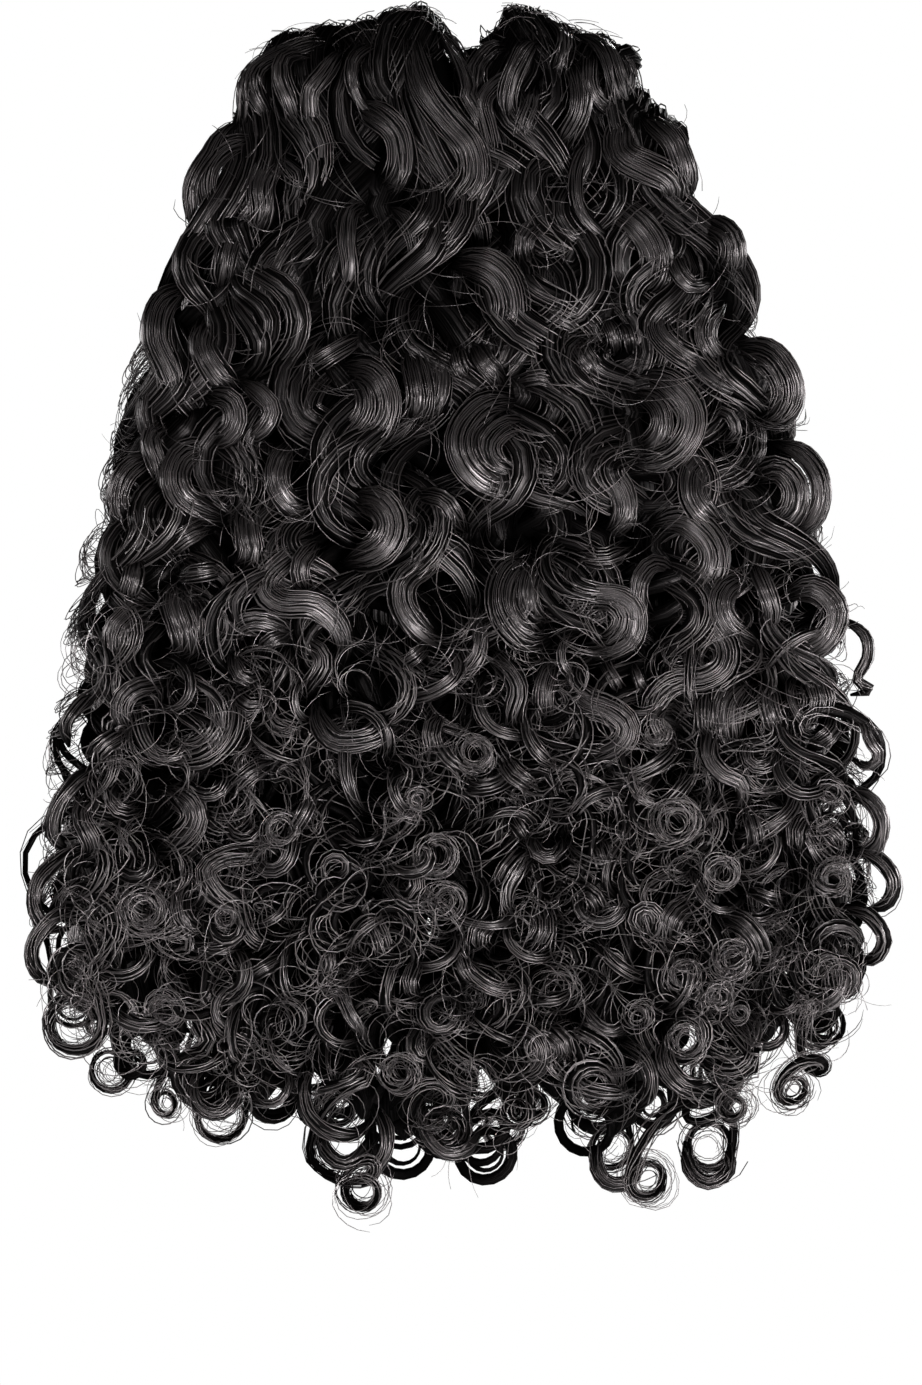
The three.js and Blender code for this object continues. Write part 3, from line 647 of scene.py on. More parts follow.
# curls that lie on top in front: width, then the middle line from root to tip, in pixels
# of the photograph, whose origin column and row and scale come first
photo = dict(midX=462, hangY=136, mmPerPixel=0.2934)
faceRows = [
    # crown, left
    (26, (332, 38), (294, 54), (266, 76), (257, 99), (267, 118), (271, 130)),
    (22, (316, 52), (290, 65), (284, 85), (292, 108), (300, 132)),
    (20, (345, 48), (328, 75), (312, 95), (312, 120), (320, 148)),
    (14, (380, 40), (358, 62), (352, 80), (360, 105), (380, 125)),
    (30, (352, 102), (378, 118), (398, 138), (402, 165), (395, 185), (380, 196)),
    (
        34, (412, 28), (416, 62), (426, 95), (448, 125), (470, 152), (474, 182), (458, 205), (440, 228),
        (434, 242)),
    (18, (436, 20), (446, 50), (455, 80), (470, 105), (484, 130), (492, 165), (488, 195)),
    (24, (262, 142), (232, 148), (212, 168), (207, 192), (214, 214), (228, 228)),
    (16, (240, 120), (215, 150), (194, 185), (193, 215), (200, 240)),
    (26, (236, 226), (230, 250), (225, 275), (222, 293)),
    (30, (292, 154), (272, 168), (262, 190), (264, 215), (256, 245)),
    (16, (300, 251), (280, 258), (268, 270), (270, 287), (277, 309)),
    (20, (372, 203), (352, 214), (348, 240), (350, 268), (346, 290), (338, 304)),
    (18, (385, 208), (405, 222), (415, 245), (417, 268), (417, 292)),
    (18, (300, 46), (273, 63), (256, 86), (247, 110), (240, 132)),
    (14, (440, 14), (453, 32), (459, 54), (466, 78)),
    # crown, right
    (20, (520, 70), (500, 85), (484, 105), (488, 130), (494, 160), (492, 195)),
    (22, (536, 86), (530, 110), (522, 135), (528, 160)),
    (24, (572, 60), (580, 95), (578, 118), (566, 140), (556, 158)),
    (24, (574, 33), (594, 44), (607, 64), (616, 90), (628, 112)),
    (18, (590, 55), (588, 85), (598, 106), (612, 118)),
    (20, (545, 15), (558, 35), (560, 60), (552, 85)),
    (16, (604, 138), (586, 150), (576, 172), (575, 198), (582, 220), (598, 236), (618, 246)),
    (34, (626, 112), (618, 138), (622, 158), (645, 172), (668, 184), (674, 202), (662, 220)),
    (36, (600, 190), (618, 212), (640, 232), (654, 256), (653, 282), (634, 304)),
    (28, (640, 116), (658, 138), (675, 156), (684, 180), (682, 208)),
    (30, (700, 222), (724, 238), (730, 260), (722, 282)),
    (20, (668, 250), (676, 275), (690, 290), (712, 284)),
    (22, (540, 224), (524, 244), (528, 268)),
    (40, (450, 266), (480, 268), (502, 284), (510, 310), (502, 336), (486, 352)),
    (22, (548, 258), (545, 285), (552, 310), (572, 328)),
    (26, (510, 46), (489, 56), (477, 78), (478, 108)),
    (14, (502, 22), (494, 40), (496, 60)),
    (22, (538, 40), (523, 58), (512, 80), (506, 104), (508, 132)),
    (18, (596, 38), (615, 54), (626, 78), (633, 104)),
    # upper middle, left
    (32, (192, 288), (166, 308), (160, 342), (172, 372), (180, 395), (172, 412)),
    (28, (212, 322), (205, 347), (210, 362), (222, 380), (240, 397)),
    (20, (282, 323), (262, 336), (246, 348)),
    (20, (366, 338), (340, 354), (318, 367), (302, 376)),
    (22, (240, 382), (260, 396), (274, 414), (263, 434), (244, 443)),
    (26, (205, 397), (232, 405), (238, 425), (228, 440), (208, 447)),
    (30, (338, 366), (372, 374), (388, 400), (384, 428), (364, 446), (345, 452)),
    (22, (345, 380), (362, 392), (366, 412), (355, 430), (338, 440)),
    (30, (410, 350), (418, 380), (421, 405), (413, 432)),
    (24, (432, 350), (441, 378), (438, 405), (428, 426)),
    (22, (172, 420), (155, 440), (160, 462), (166, 480), (158, 496)),
    (24, (158, 456), (134, 472), (124, 492), (123, 512), (136, 534)),
    (32, (222, 450), (190, 456), (179, 478), (186, 500), (206, 513), (232, 521)),
    (26, (292, 443), (281, 468), (281, 490), (294, 508), (312, 516)),
    (20, (417, 495), (444, 502), (457, 520), (468, 533)),
    (18, (182, 512), (172, 530), (162, 548)),
    (24, (212, 526), (188, 539), (168, 556)),
    (30, (247, 508), (250, 535), (253, 556), (243, 573)),
    # upper middle, right
    (20, (535, 300), (551, 316), (571, 327), (588, 333)),
    (24, (574, 342), (582, 360), (592, 374), (584, 390)),
    (16, (603, 322), (611, 338), (615, 356)),
    (14, (622, 325), (627, 340), (630, 356)),
    (24, (474, 345), (486, 368), (506, 386)),
    (20, (455, 350), (460, 370), (470, 384)),
    (18, (515, 386), (540, 381), (562, 390)),
    (28, (678, 302), (660, 317), (657, 335), (672, 353), (694, 366), (718, 376)),
    (24, (722, 306), (706, 322), (703, 342), (714, 360), (730, 373)),
    (34, (730, 350), (762, 357), (780, 380), (784, 402), (772, 421), (752, 424)),
    (14, (705, 420), (722, 415), (732, 435), (715, 450)),
    (34, (522, 403), (488, 407), (466, 428), (461, 450), (472, 474), (498, 490), (538, 486)),
    (26, (530, 425), (505, 430), (489, 448), (497, 468), (525, 478)),
    (32, (628, 376), (662, 385), (685, 408), (688, 432), (672, 456), (645, 466), (622, 461)),
    (24, (632, 395), (652, 405), (660, 425), (652, 445), (635, 455)),
    (28, (563, 474), (594, 471), (616, 488), (623, 512), (614, 530), (598, 537)),
    (30, (706, 458), (691, 475), (690, 500), (704, 519), (724, 528)),
    (30, (748, 478), (774, 472), (790, 490), (787, 514), (766, 533)),
    (22, (770, 446), (796, 455), (812, 476), (816, 500), (808, 524), (788, 538)),
    # lower middle, left
    (38, (352, 498), (380, 505), (392, 528), (380, 552), (345, 568)),
    (
        30, (330, 535), (298, 553), (273, 574), (268, 592), (285, 605), (316, 606), (338, 624), (346, 648),
        (337, 672)),
    (20, (322, 545), (306, 560), (303, 578), (313, 596)),
    (24, (140, 562), (138, 582), (130, 602)),
    (18, (180, 578), (205, 575), (232, 568)),
    (32, (182, 582), (178, 602), (186, 626), (190, 648), (180, 662)),
    (18, (200, 600), (203, 625), (200, 648)),
    (34, (155, 610), (130, 626), (124, 646), (134, 668)),
    (24, (235, 648), (240, 628), (262, 621), (290, 631), (302, 642)),
    (18, (265, 656), (273, 643), (294, 636)),
    (18, (238, 652), (241, 671), (252, 680), (267, 675)),
    (20, (300, 641), (320, 651), (325, 666), (315, 682), (302, 700)),
    (28, (452, 564), (426, 567), (406, 582), (403, 602), (413, 622), (432, 640), (447, 648)),
    (16, (400, 666), (415, 658), (429, 645)),
    (16, (235, 690), (252, 705), (276, 702)),
    (24, (168, 681), (138, 690), (126, 710), (136, 736)),
    (20, (218, 678), (236, 696), (240, 720), (230, 743), (208, 760), (180, 761), (150, 752)),
    (26, (200, 699), (219, 711), (219, 731), (200, 747), (176, 747), (162, 735)),
    (22, (133, 729), (108, 745), (96, 762)),
    (24, (317, 694), (321, 720), (338, 740), (370, 738), (400, 721), (418, 714)),
    (20, (440, 711), (432, 735), (440, 758)),
    (22, (277, 759), (252, 774), (230, 796)),
    # lower middle, right
    (36, (527, 557), (507, 578), (502, 604), (512, 627), (533, 642), (553, 639)),
    (26, (533, 562), (525, 590), (530, 614), (543, 628)),
    (22, (628, 548), (602, 560), (572, 554)),
    (
        28, (558, 562), (553, 582), (566, 599), (596, 597), (624, 603), (632, 622), (624, 642), (600, 652),
        (570, 655)),
    (20, (585, 610), (605, 605), (618, 620), (608, 638), (590, 640)),
    (34, (645, 528), (676, 520), (700, 535), (711, 558), (703, 583), (674, 601)),
    (20, (674, 572), (653, 565), (638, 580), (636, 603), (648, 623)),
    (
        28, (655, 626), (678, 617), (706, 628), (722, 648), (719, 668), (700, 680), (673, 682), (655, 696),
        (651, 713), (682, 728)),
    (28, (750, 577), (724, 589), (717, 610), (730, 632), (758, 648)),
    (20, (749, 563), (760, 590), (768, 614), (764, 636)),
    (30, (776, 596), (808, 590), (829, 611), (820, 639), (796, 652), (782, 640)),
    (12, (833, 617), (857, 634), (861, 656), (851, 680), (866, 690), (846, 695)),
    (12, (833, 725), (855, 720), (862, 740), (871, 755), (861, 766), (844, 755)),
    (18, (472, 607), (480, 632), (477, 657), (456, 679), (440, 686)),
    (22, (485, 652), (507, 670), (517, 690), (511, 714), (507, 736)),
    (22, (555, 660), (545, 680), (542, 700), (548, 726)),
    (30, (571, 657), (566, 680), (581, 700), (609, 711), (624, 726), (616, 745), (590, 755), (560, 760)),
    (14, (600, 660), (612, 680), (619, 696)),
    (14, (630, 664), (636, 680), (642, 694)),
    (22, (702, 687), (700, 715), (703, 741)),
    (20, (717, 715), (707, 737), (706, 757), (720, 773), (735, 779), (740, 795), (727, 815)),
    (32, (747, 680), (728, 700), (725, 725), (733, 748)),
    (24, (762, 682), (765, 710), (776, 736)),
    (34, (805, 680), (811, 700), (806, 718)),
    (20, (832, 715), (825, 732), (804, 748)),
    (24, (502, 752), (513, 772), (541, 788)),
    (16, (656, 774), (638, 790), (637, 809)),
    # tips, left
    (22, (95, 790), (88, 815), (100, 845), (90, 865)),
    (30, (167, 785), (192, 797), (200, 817), (185, 838), (158, 848)),
    (24, (284, 852), (235, 852), (211, 866), (220, 887), (240, 900), (262, 913)),
    (20, (196, 874), (185, 895), (190, 917), (211, 933)),
    (20, (405, 864), (418, 877), (413, 891), (398, 898)),
    (22, (369, 908), (382, 932), (388, 962)),
    (18, (326, 938), (331, 960), (321, 978)),
    (16, (286, 954), (266, 964), (251, 976)),
    (16, (334, 962), (342, 985), (353, 1010), (366, 1030), (361, 1046)),
    (18, (420, 953), (410, 978), (419, 997)),
    (18, (100, 764), (80, 782), (64, 806), (60, 832), (74, 852)),
    (16, (92, 842), (66, 856), (46, 878), (42, 904), (54, 924), (74, 926)),
    (16, (88, 902), (60, 914), (42, 936), (40, 958), (52, 976), (72, 978)),
    (14, (100, 690), (84, 706), (72, 726), (74, 746)),
    (16, (316, 1056), (307, 1080), (311, 1106), (331, 1124), (358, 1126), (376, 1110)),
    (16, (322, 1120), (327, 1142), (345, 1155), (364, 1146), (372, 1128)),
    (16, (376, 1100), (387, 1120), (387, 1142), (376, 1162), (364, 1180)),
    (16, (204, 1060), (196, 1080), (205, 1100), (224, 1106), (240, 1092), (240, 1070)),
    (16, (424, 1096), (426, 1124), (444, 1144), (466, 1142), (481, 1120)),
    # tips, right
    (28, (527, 850), (508, 869), (502, 891)),
    (14, (510, 814), (521, 829), (528, 840)),
    (24, (596, 838), (602, 855), (606, 873)),
    (20, (574, 886), (591, 892), (601, 912)),
    (24, (745, 803), (752, 828), (756, 852)),
    (24, (802, 809), (790, 830), (796, 852)),
    (18, (813, 823), (828, 832), (837, 846)),
    (16, (744, 884), (760, 892), (781, 898)),
    (26, (692, 894), (670, 910), (665, 930), (676, 942)),
    (24, (714, 909), (740, 920), (755, 944), (752, 968)),
    (22, (492, 913), (478, 930), (481, 948)),
    (20, (459, 944), (465, 966), (477, 981)),
    (24, (537, 903), (541, 925), (529, 947)),
    (24, (542, 1022), (560, 1038), (561, 1058)),
    (22, (664, 1028), (662, 1055), (680, 1077), (711, 1083)),
    (16, (598, 1136), (594, 1158), (606, 1174), (627, 1172), (640, 1152)),
    (16, (682, 1136), (686, 1162), (704, 1174), (724, 1162), (726, 1138)),
    (18, (836, 786), (862, 798), (874, 820), (868, 844), (850, 856)),
    (16, (842, 846), (872, 856), (886, 878), (880, 900), (860, 908)),
    (16, (836, 902), (862, 912), (876, 934), (868, 954), (848, 958)),
]
rosettes = [  # curls seen end on: middle and radius, in the same pixels
    (149, 906, 29), (284, 826, 20), (437, 852, 26), (447, 897, 21), (420, 797, 14), (230, 915, 15),
    (170, 1005, 22), (672, 820, 27), (717, 870, 20), (827, 875, 21), (727, 955, 21), (680, 970, 20),
    (717, 990, 16), (735, 1007, 13), (635, 1010, 17), (682, 1035, 24), (825, 790, 15), (652, 732, 18),
    (475, 752, 22), (540, 1040, 18), (400, 1065, 22),
]
inFan = (0.01, 0.99)  # just inside the two sides
goldenStep = 0.618
faceLook = dict(  # the surface in front and behind, how a curl rises from it, and its painted light and shade
    around=17.8, tipY=-34.5, backAround=14.6, backTipY=18.5, crownUp=0.97, foldBlur=7, step=2.3, splits=12,
    sink=5.0, bulge=4.2, level=2.4, wander=(0.9, 34), crownCalm=0.8, crownFrom=(0.3, 0.9), ends=0.2,
    thick=0.3, least=0.35, lit=(0.15, 0.98), endLit=0.05, crownPaintedShade=0.4, crownShadeFrom=(0.4, 0.95), topLit=0.74,
    topBy=(20, 120), lowFrom=(120, 210), coreLit=(0.62, 0.26), coreTone=(0.2, 0.7), coreWide=0.95,
    coreThick=0.8, girth=0.4, pitch=0.62, fewest=5, thin=(0.13, 0.22), tone=(0.0, 1.1), fray=(2.25, 3.3),
    jitter=0.3, dome=0.95, over=0.2, frayWide=(0.15, 30), frayDeep=(0.24, 36), early=0.12, late=0.4,
)
rosetteLook = dict(
    hairs=3.6, reach=(0.35, 1.0), turns=(0.4, 1.1), off=0.07, deep=1.1, steps=15, thin=(0.11, 0.19), lift=4.5,
)
softTufts = dict(  # small soft curls among the loose hairs
    count=95, top=-150, low=-282, long=(17, 36), radius=(5.0, 12.0), wide=(2.4, 5.4), places=(0.04, 0.96),
    jitter=0.03, crowd=0.85, above=14, uneven=(0.8, 50), heading=1.0,
)
tufts = dict(
    front=190, back=46, top=-140, low=-288, long=(15, 36), radius=(4.0, 11.0), hairs=(6, 12),
    thin=(0.1, 0.18), part=0.3, places=(0.03, 0.97), jitter=0.02, crowd=0.8, above=9, steps=12,
    shorter=(0.65, 1.1), spread=0.7, uneven=(0.6, 1.6), ownBend=0.25, heading=1.1, sink=3.5, bulge=3.6,
    level=2.6, apart=0.7, lit=(0.3, 1.0), tone=(0.0, 1.3), ownTone=0.4,
)
veil = dict(  # thinner tufts over the upper half
    count=95, top=-10, low=-160, long=(18, 42), radius=(7.0, 22.0), hairs=(4, 8), thin=(0.09, 0.15),
    part=0.45, places=(0.04, 0.96),
)
edgeTufts = dict(  # on the two sides, in front of the open middle and behind it
    count=38, top=-50, low=-232, front=(-30, -14), back=(9, 17), frontRoom=(-34, -9), backRoom=(7, 19),
    frontIn=3.5, backIn=6.5,
)


def faceY(z, side):  # depth of the surface that curls and tufts lie on
    if side > 0:
        return lerp(faceLook["backAround"], faceLook["backTipY"], fanShare(z))
    return lerp(-faceLook["around"], faceLook["tipY"], fanShare(z))


def smoothLine(points, step):
    # curve through the given points, cut into even steps
    p = np.concatenate([[2 * points[0] - points[1]], points, [2 * points[-1] - points[-2]]])
    u = np.linspace(0, 1, faceLook["splits"], endpoint=False)[:, None]
    fine = []
    for a, b, c, d in zip(p, p[1:], p[2:], p[3:]):
        fine.append(b + 0.5 * u * (c - a + u * (2 * a - 5 * b + 4 * c - d + u * (3 * b - a - 3 * c + d))))
    fine = np.concatenate(fine + [points[-1:]])
    gone = distances(fine)
    even = np.linspace(0, gone[-1], max(int(gone[-1] / step), 6) + 1)
    return np.stack([np.interp(even, gone, fine[:, k]) for k in (0, 1)], -1)


def crownShare(x, z):
    return np.clip(fanPlace(x, z), *inFan)


def spreadOut(i, jitter):  # even over the width, however many there are
    return (i * goldenStep + jitter * rng.normal()) % 1


def layFaceCurls():
    curls, step = [], faceLook["step"]
    for wide, *points in faceRows:
        p = np.array(points, float)
        line = np.stack([p[:, 0] - photo["midX"], photo["hangY"] - p[:, 1]], -1) * photo["mmPerPixel"]
        curls.append(dict(wide=wide * photo["mmPerPixel"], line=smoothLine(line, step)))
    look = softTufts
    for i in range(look["count"]):
        q = lerp(*look["places"], spreadOut(i, look["jitter"]))
        z = lerp(look["top"], look["low"], ((i + rng.uniform()) / look["count"]) ** look["crowd"])
        z = max(z, fanBottom(q) + look["above"])
        s = np.arange(0, rng.uniform(*look["long"]), step)
        bend = rng.choice((-1, 1)) / rng.uniform(*look["radius"])
        bend = bend * (1 + roam(look["uneven"], s, rng.uniform(0, tau, 2)))
        angle = rng.normal(0, look["heading"]) + np.cumsum(bend) * step
        line = np.stack([np.cumsum(np.sin(angle)), -np.cumsum(np.cos(angle))], -1) * step
        line += (lerp(*fanSides(z), q), z) - line.mean(axis=0)
        line[:, 0] = heldIn(line[:, 0], line[:, 1])
        curls.append(dict(wide=rng.uniform(*look["wide"]), line=line))
    for curl in curls:
        curl["q"] = float(crownShare(*curl["line"][len(curl["line"]) // 2]))
    return curls


def layRosettes():
    made = []
    for column, row, reach in rosettes:
        pixels = (column - photo["midX"], photo["hangY"] - row, reach)
        x, z, radius = (v * photo["mmPerPixel"] for v in pixels)
        y = faceY(z, -1) - rosetteLook["lift"]
        made.append(dict(middle=(x, y, z), radius=radius, q=float(crownShare(x, z))))
    return made


def layTufts():
    made = []
    for side, count in ((-1, tufts["front"]), (1, tufts["back"])):
        for i in range(count):  # with a random height in each step down
            q = spreadOut(i, tufts["jitter"])
            z = lerp(tufts["top"], tufts["low"], ((i + rng.uniform()) / count) ** tufts["crowd"])
            z = max(z, fanBottom(q) + tufts["above"])
            q = lerp(*tufts["places"], q)
            made.append(dict(side=side, edge=0, q=q, x=lerp(*fanSides(z), q), z=z, look=tufts))
    for i in range(veil["count"]):
        q = lerp(*veil["places"], spreadOut(i, tufts["jitter"]))
        z = lerp(veil["top"], veil["low"], (i + rng.uniform()) / veil["count"])
        made.append(dict(side=-1, edge=0, q=q, x=lerp(*fanSides(z), q), z=z, look=veil))
    for edge, q in zip((-1, 1), inFan):
        for i in range(edgeTufts["count"]):
            z = lerp(edgeTufts["top"], edgeTufts["low"], (i + rng.uniform()) / edgeTufts["count"])
            side = -1 if i % 3 else 1
            y = rng.uniform(*edgeTufts["front" if side < 0 else "back"])
            made.append(dict(side=side, edge=edge, q=q, x=y, z=z, look=tufts))
    return made


def addTuft(mesh, tuft):
    # a few loose hairs that meet at one place and part from there
    look, p, side = tuft["look"], tufts["steps"], tuft["side"]
    n = rng.integers(*look["hairs"])
    u = np.linspace(0, 1, p)[None]
    step = rng.uniform(*look["long"]) * rng.uniform(*tufts["shorter"], (n, 1)) / (p - 1)
    bend = rng.choice((-1, 1)) / rng.uniform(*look["radius"])
    bend = bend * (1 + roam(tufts["uneven"], u, rng.uniform(0, tau, 2)))
    heading = rng.normal(0, tufts["heading"]) + look["part"] * rng.normal(size=(n, 1))
    angle = heading + np.cumsum(bend * (1 + tufts["ownBend"] * rng.normal(size=(n, 1))) * step, axis=1)
    x, z = np.cumsum(np.sin(angle) * step, axis=1), -np.cumsum(np.cos(angle) * step, axis=1)
    meet = rng.choice((0, p // 2, p - 1))
    spread = tufts["spread"] * rng.normal(size=(2, n, 1))
    x = x - x[:, meet:meet + 1] + tuft["x"] + spread[0]
    z = np.maximum(z - z[:, meet:meet + 1] + tuft["z"] + spread[1], fan["lowest"])
    lift = lerp(-tufts["sink"], tufts["bulge"], np.sin(math.pi * u) ** 0.7)
    lift = lift + rng.uniform(0, tufts["level"]) + tufts["apart"] * rng.normal(size=(n, 1))
    if tuft["edge"]:  # on a side of the fan it runs from front to back instead
        y = np.clip(x, *edgeTufts["frontRoom" if side < 0 else "backRoom"])
        inset = edgeTufts["frontIn" if side < 0 else "backIn"]
        x = fanSides(z)[0 if tuft["edge"] < 0 else 1] + tuft["edge"] * (lift - inset)
        out = (tuft["edge"], askew, askew)
    else:
        y = faceY(z, side) + side * lift
        x = heldIn(heldIn(x, z), z)
        out = (askew, side, askew)
    # painted shade, random for each tuft as if it lay deeper or shallower, beside its random tone
    tone, lit = rng.uniform(*tufts["tone"]), rng.uniform(*tufts["lit"])
    addHairs(mesh, np.stack([x, y, z], -1), out, look["thin"], lit, (tone, tone + tufts["ownTone"]))


def addFaceCurl(mesh, curl):
    # one curl laid on the front of the hair: it rises from inside, bulges and dives in again
    look, around, wide = faceLook, faceLook["around"], curl["wide"]
    x, z = curl["line"].T
    over = rng.uniform(0, look["level"])
    roots = crownX(crownShare(x, z))
    bend = crownTops(roots) - fold["drop"]
    blur = look["foldBlur"]
    bend = np.convolve(np.pad(bend, blur // 2, "edge"), np.ones(blur) / blur, "valid")
    up = np.clip((z - bend) / around, 0.0, look["crownUp"])
    level = -np.sqrt(1 - up ** 2)
    y = np.where(up > 0, around * level, faceY(z, -1))
    slope = np.array([foldSlope(hankAt(root), root) for root in roots])
    out = unit(np.stack([-slope * up, level, up], -1))
    line = np.stack([x, y, np.minimum(z, bend + look["crownUp"] * around)], -1)
    s = distances(line)
    u = s / s[-1]
    swell = np.sin(math.pi * np.clip(u, 0.015, 0.985)) ** 0.7
    own = rng.uniform(0, tau, 4)
    lift = lerp(-look["sink"], look["bulge"], swell) + over + roam(look["wander"], s, own[0:2])
    line = line + out * (lift * (1 - look["crownCalm"] * smooth(up, *look["crownFrom"])))[:, None]
    across, rise = waysAlong(line, out)
    half = wide / 2 * lerp(look["ends"], 1.0, smooth(swell, 0.0, 0.85))
    thick = half * look["thick"] + look["least"]
    # painted shade: darker where the curl dives in at its ends, over the crown and on the upper hair
    shade = lerp(look["endLit"], 1.0, smooth(swell, *look["lit"]))
    shade = shade * (1 - look["crownPaintedShade"] * smooth(up, *look["crownShadeFrom"]))
    shade = shade * lerp(look["topLit"], 1.0, smooth(-z, *look["topBy"]))
    low = smooth(-z.mean(), *look["lowFrom"])  # painted shade: darker cores, and looser strands, towards the tips
    core, lit = (look["coreWide"] * half, look["coreThick"] * thick), lerp(*look["coreLit"], low) * shade
    addTube(mesh, (line, across, rise), *core, 6, s, lit, look["coreTone"], wide * look["girth"])
    fray = lerp(*look["fray"], low)
    n = max(int(wide / look["pitch"]), look["fewest"])
    for i in range(n):
        own = rng.uniform(0, tau, 4)
        place = (i + 0.5 + rng.uniform(-look["jitter"], look["jitter"])) / n
        beside = np.clip(1 - 2 * place, -0.99, 0.99)
        tipLoose = rng.normal() * smooth(u, 0.5, 1.0) ** 2
        rootLoose = rng.normal() * smooth(1 - u, 0.6, 1.0) ** 2
        a = half * beside + fray * (roam(look["frayWide"], s, own[0:2]) + tipLoose + 0.5 * rootLoose)
        b = thick * (look["dome"] * math.sqrt(1 - beside ** 2) + look["over"])
        b = b + fray * roam(look["frayDeep"], s, own[2:4])
        first = int(len(s) * rng.uniform(0, look["early"]))
        part = slice(first, len(s) - int(len(s) * look["late"] * rng.uniform() ** 1.4))
        path = line + a[:, None] * across + b[:, None] * rise
        thin = rng.uniform(*look["thin"]) * lerp(0.5, 1.0, smooth(swell[part], 0.0, 0.5))
        strand = path[part], across[part], rise[part]
        addTube(mesh, strand, thin, thin, 3, s[part] - s[first], shade[part], look["tone"])


# shader maths on wrapped sockets
class Value:
    def __init__(self, tree, socket):
        self.tree, self.socket = tree, socket

    def maths(self, operation, a, b):
        return node(self.tree, "ShaderNodeMath", dict(operation=operation), {0: a, 1: b})

    def __add__(self, other):
        return self.maths("ADD", self, other)

    def __radd__(self, other):
        return self.maths("ADD", other, self)

    def __sub__(self, other):
        return self.maths("SUBTRACT", self, other)

    def __rsub__(self, other):
        return self.maths("SUBTRACT", other, self)

    def __mul__(self, other):
        return self.maths("MULTIPLY", self, other)

    def __rmul__(self, other):
        return self.maths("MULTIPLY", other, self)


def node(tree, kind, settings=None, inputs=None, output=0):
    made = tree.nodes.new(kind)
    for key, value in (settings or {}).items():
        setattr(made, key, value)
    for key, value in (inputs or {}).items():
        if isinstance(value, Value):
            tree.links.new(value.socket, made.inputs[key])
        else:
            made.inputs[key].default_value = value
    return Value(tree, made.outputs[output]) if made.outputs else made


hairLook = dict(
    dark=(0.0021, 0.0018, 0.0018, 1), light=(0.0192, 0.0163, 0.0162, 1), toneShare=0.7, fibreShare=0.5,
    fibreMiddle=0.35, tipLight=0.0009, tint=(1.0, 0.915, 0.925, 1), shine=1.0, ior=1.55, rough=0.345,
    roughSpread=0.12, ridge=0.5, ridgeTall=0.0006, fibres=2.0, fibreLength=0.02, fibreShift=61.0,
    fibreDetail=2.0, fibreRough=0.55, fibreGapShade=0.03, fibreGapShadeEdge=(0.43, 0.62),
    # painted shade: the flat black that stands in for shade deep in the hair
    inside=(0.0006, 0.00055, 0.00055, 1), insideRough=0.8, insideShine=0.0,
)


def hairMaterial():
    look = hairLook
    material = bpy.data.materials.new("blackHair")
    material.use_nodes = True
    tree = material.node_tree
    tree.nodes.clear()
    tone, along, across, outer = (
        node(tree, "ShaderNodeAttribute", dict(attribute_name=name), output="Fac")
        for name in ("strandTone", "alongStrand", "acrossLock", "paintedLightShare"))
    place = node(tree, "ShaderNodeCombineXYZ", None, {
        "X": across * look["fibres"], "Y": along * look["fibreLength"], "Z": tone * look["fibreShift"]})
    fibres = node(tree, "ShaderNodeTexNoise", None, {
        "Vector": place, "Scale": 1.0,
        "Detail": look["fibreDetail"], "Roughness": look["fibreRough"]}, output="Fac")
    lighter = tone * look["toneShare"] + (fibres - look["fibreMiddle"]) * look["fibreShare"]
    lighter = lighter + along * look["tipLight"]
    mixed = node(tree, "ShaderNodeMix", dict(data_type="RGBA", clamp_factor=False), {
        "Factor": lighter, "A": look["dark"], "B": look["light"]}, output=2)
    rough = look["rough"] + look["roughSpread"] * (fibres - 0.5)
    bump = node(tree, "ShaderNodeBump", None, {
        "Height": fibres, "Strength": look["ridge"], "Distance": look["ridgeTall"]})
    lit = node(tree, "ShaderNodeBsdfPrincipled", None, {
        "Base Color": mixed, "Roughness": rough, "Normal": bump, "IOR": look["ior"],
        "Specular IOR Level": look["shine"], "Specular Tint": look["tint"]})
    # painted shade: a flat black shader taken where the hair lies in shade
    inside = node(tree, "ShaderNodeBsdfPrincipled", None, {
        "Base Color": look["inside"], "Roughness": look["insideRough"],
        "Specular IOR Level": look["insideShine"]})
    # painted shade in the dark lines between the fibres of a bundle
    fibreShadeLines = node(tree, "ShaderNodeMapRange", dict(interpolation_type="SMOOTHSTEP"), {
        "Value": fibres, "From Min": look["fibreGapShadeEdge"][0], "From Max": look["fibreGapShadeEdge"][1],
        "To Min": look["fibreGapShade"], "To Max": 1.0})
    single = node(tree, "ShaderNodeMath", dict(operation="LESS_THAN"), {0: across, 1: -0.5})  # not a bundle
    # painted shade: a low painted light share, and on bundles the dark lines between fibres, give way to the
    # painted black
    paintedLitMix = outer * (single + (1 - single) * fibreShadeLines)
    shader = node(tree, "ShaderNodeMixShader", None, {0: paintedLitMix, 1: inside, 2: lit})
    node(tree, "ShaderNodeOutputMaterial", None, {"Surface": shader})
    return material


hair = hairMaterial()
wisps = makeWisps()
faceCurls, rings, loose = layFaceCurls(), layRosettes(), layTufts()
print("laid out", len(wisps), "wisps and", len(faceCurls), "face curls")


def ofHank(items, hank):  # what lies over one hank, by its place across the fan
    return [item for item in items if hankAt(crownX(item["q"])) is hank]


def outside(wisp):
    return wisp["sheet"] == 0 and wisp["layer"] in outsideLayers


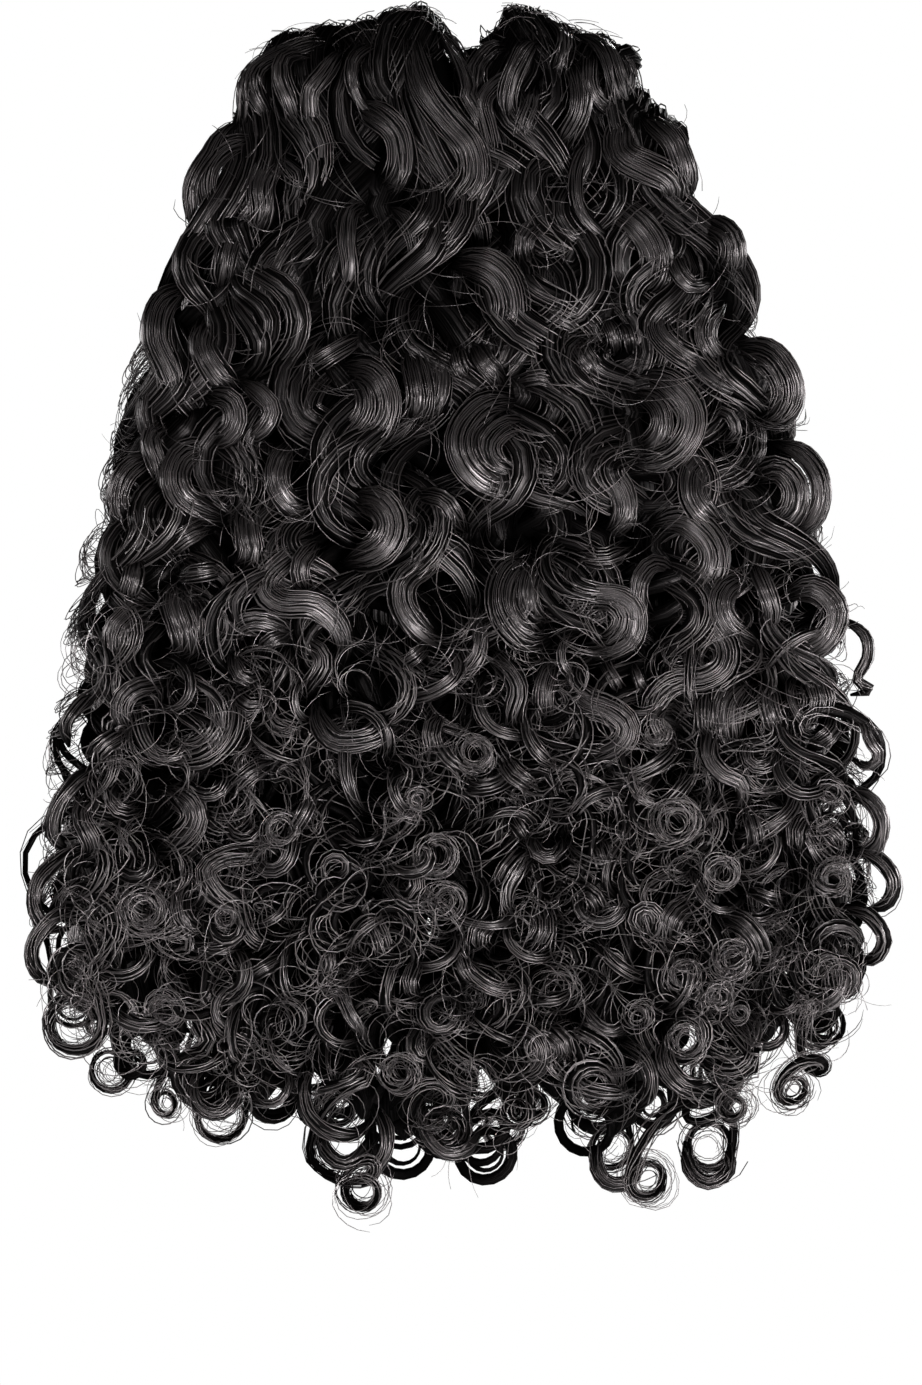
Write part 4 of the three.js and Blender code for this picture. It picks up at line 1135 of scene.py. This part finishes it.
def addLoose(mesh, runs):
    # flyaways anywhere on the outer wisps, and frizz where they make the outline
    share = len(runs) / sum(outside(w) for w in wisps)
    for _ in range(int(round(flyaways["count"] * share))):
        run = runs[rng.integers(len(runs))]
        last = len(run["t"]) - flyaways["stop"]
        place = lerp(flyaways["start"], last, rng.uniform() ** flyaways["lower"])
        addFlyaway(mesh, run, int(place), flyaways)
    for _ in range(int(round(frizz["count"] * share))):
        run = runs[rng.integers(len(runs))]
        edge = [k for k in range(2, len(run["t"]) - 2) if run["t"][k] < flyaways["crown"] or run["atSide"][k]]
        addFlyaway(mesh, run, edge[rng.integers(len(edge))], frizz)


def finishPiece(mesh, *nodes):
    piece, triangles = mesh.build(hair)
    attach(piece, "root")
    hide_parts(*nodes)
    return triangles


triangles = 0
for hank in hanks:
    name, over = hank["name"], ofHank(loose, hank)
    own = [w for w in wisps if w["hank"] is hank]
    for side, nodes in (("front", (f"{name}_loop", f"{name}_front")), ("back", (f"{name}_back",))):
        mesh = HairMesh(f"{name}_{side}_curls")
        runs = [(w, addWisp(mesh, w)) for w in own if (w["layer"] in frontLayers) == (side == "front")]
        addLoose(mesh, [run for w, run in runs if outside(w)])
        for tuft in over:
            if side == "back" and tuft["side"] > 0:
                addTuft(mesh, tuft)
        triangles += finishPiece(mesh, *nodes)
    mesh = HairMesh(f"{name}_face_curls")
    for curl in ofHank(faceCurls, hank):
        addFaceCurl(mesh, curl)
    for ring in ofHank(rings, hank):
        count = int(ring["radius"] * rosetteLook["hairs"])
        paths = loopPaths(ring["middle"], ring["radius"], count, rosetteLook)
        addHairs(mesh, paths, frontward, rosetteLook["thin"], 1.0)
    for tuft in over:
        if tuft["side"] < 0:
            addTuft(mesh, tuft)
    triangles += finishPiece(mesh, f"{name}_front")
print("curls done, triangles", triangles)


# floor, light and camera, in metres
stage = dict(floorZ=-0.62, floorWide=2.0, pale=(0.9, 0.9, 0.9, 1), rough=0.9, world=0.018)
lights = dict(
    key=dict(place=(-0.45, -1.4, 0.26), aimZ=-0.18, size=0.5, power=14.8),
    low=dict(place=(0.4, -0.9, -0.5), aimZ=-0.26, size=0.32, power=22),
    above=dict(place=(0.3, -0.5, 1.3), aimZ=-0.1, size=0.6, power=2),
    back=dict(place=(0.4, 1.3, 0.25), aimZ=-0.15, size=0.6, power=42),
    left=dict(place=(-1.4, 0.3, 0.1), aimZ=-0.15, size=0.6, power=27),
    right=dict(place=(1.4, 0.3, 0.0), aimZ=-0.15, size=0.6, power=27),
)
view = dict(away=1.5, x=-0.0003, z=-0.1633, tall=0.4064, face=0.012, sensor=36.0)

bpy.ops.mesh.primitive_plane_add(size=stage["floorWide"], location=(0, 0, stage["floorZ"]))
floor = bpy.context.object
floor.name = "floor"
pale = bpy.data.materials.new("paleFloor")
pale.use_nodes = True
pale.node_tree.nodes["Principled BSDF"].inputs["Base Color"].default_value = stage["pale"]
pale.node_tree.nodes["Principled BSDF"].inputs["Roughness"].default_value = stage["rough"]
floor.data.materials.append(pale)

scene = bpy.context.scene
world = bpy.data.worlds.new("studio")
scene.world = world
world.use_nodes = True
tree = world.node_tree
tree.nodes.clear()
seen = node(tree, "ShaderNodeLightPath", output="Is Camera Ray")
backdrop = node(tree, "ShaderNodeBackground", None, {
    "Color": (1, 1, 1, 1), "Strength": stage["world"] + (1 - stage["world"]) * seen})
node(tree, "ShaderNodeOutputWorld", None, {"Surface": backdrop})


def areaLight(name, place, aimZ, size, power):
    light = bpy.data.lights.new(name, "AREA")
    light.shape, light.size, light.energy = "DISK", size, power
    ob = bpy.data.objects.new(name, light)
    bpy.context.collection.objects.link(ob)
    ob.location = place
    x, y, z = place
    ob.rotation_euler = (math.atan2(math.hypot(x, y), z - aimZ), 0, math.atan2(y, x) + math.pi / 2)


for name, light in lights.items():
    areaLight(name, **light)

camera = bpy.data.cameras.new("camera")
camera.sensor_fit, camera.sensor_height = "VERTICAL", view["sensor"]
camera.lens = view["sensor"] * (view["away"] - view["face"]) / view["tall"]
cameraOb = bpy.data.objects.new("camera", camera)
bpy.context.collection.objects.link(cameraOb)
cameraOb.location = (view["x"], -view["away"], view["z"])
cameraOb.rotation_euler = (math.pi / 2, 0, 0)
scene.camera = cameraOb
scene.view_settings.view_transform = "Standard"
print("stage done")
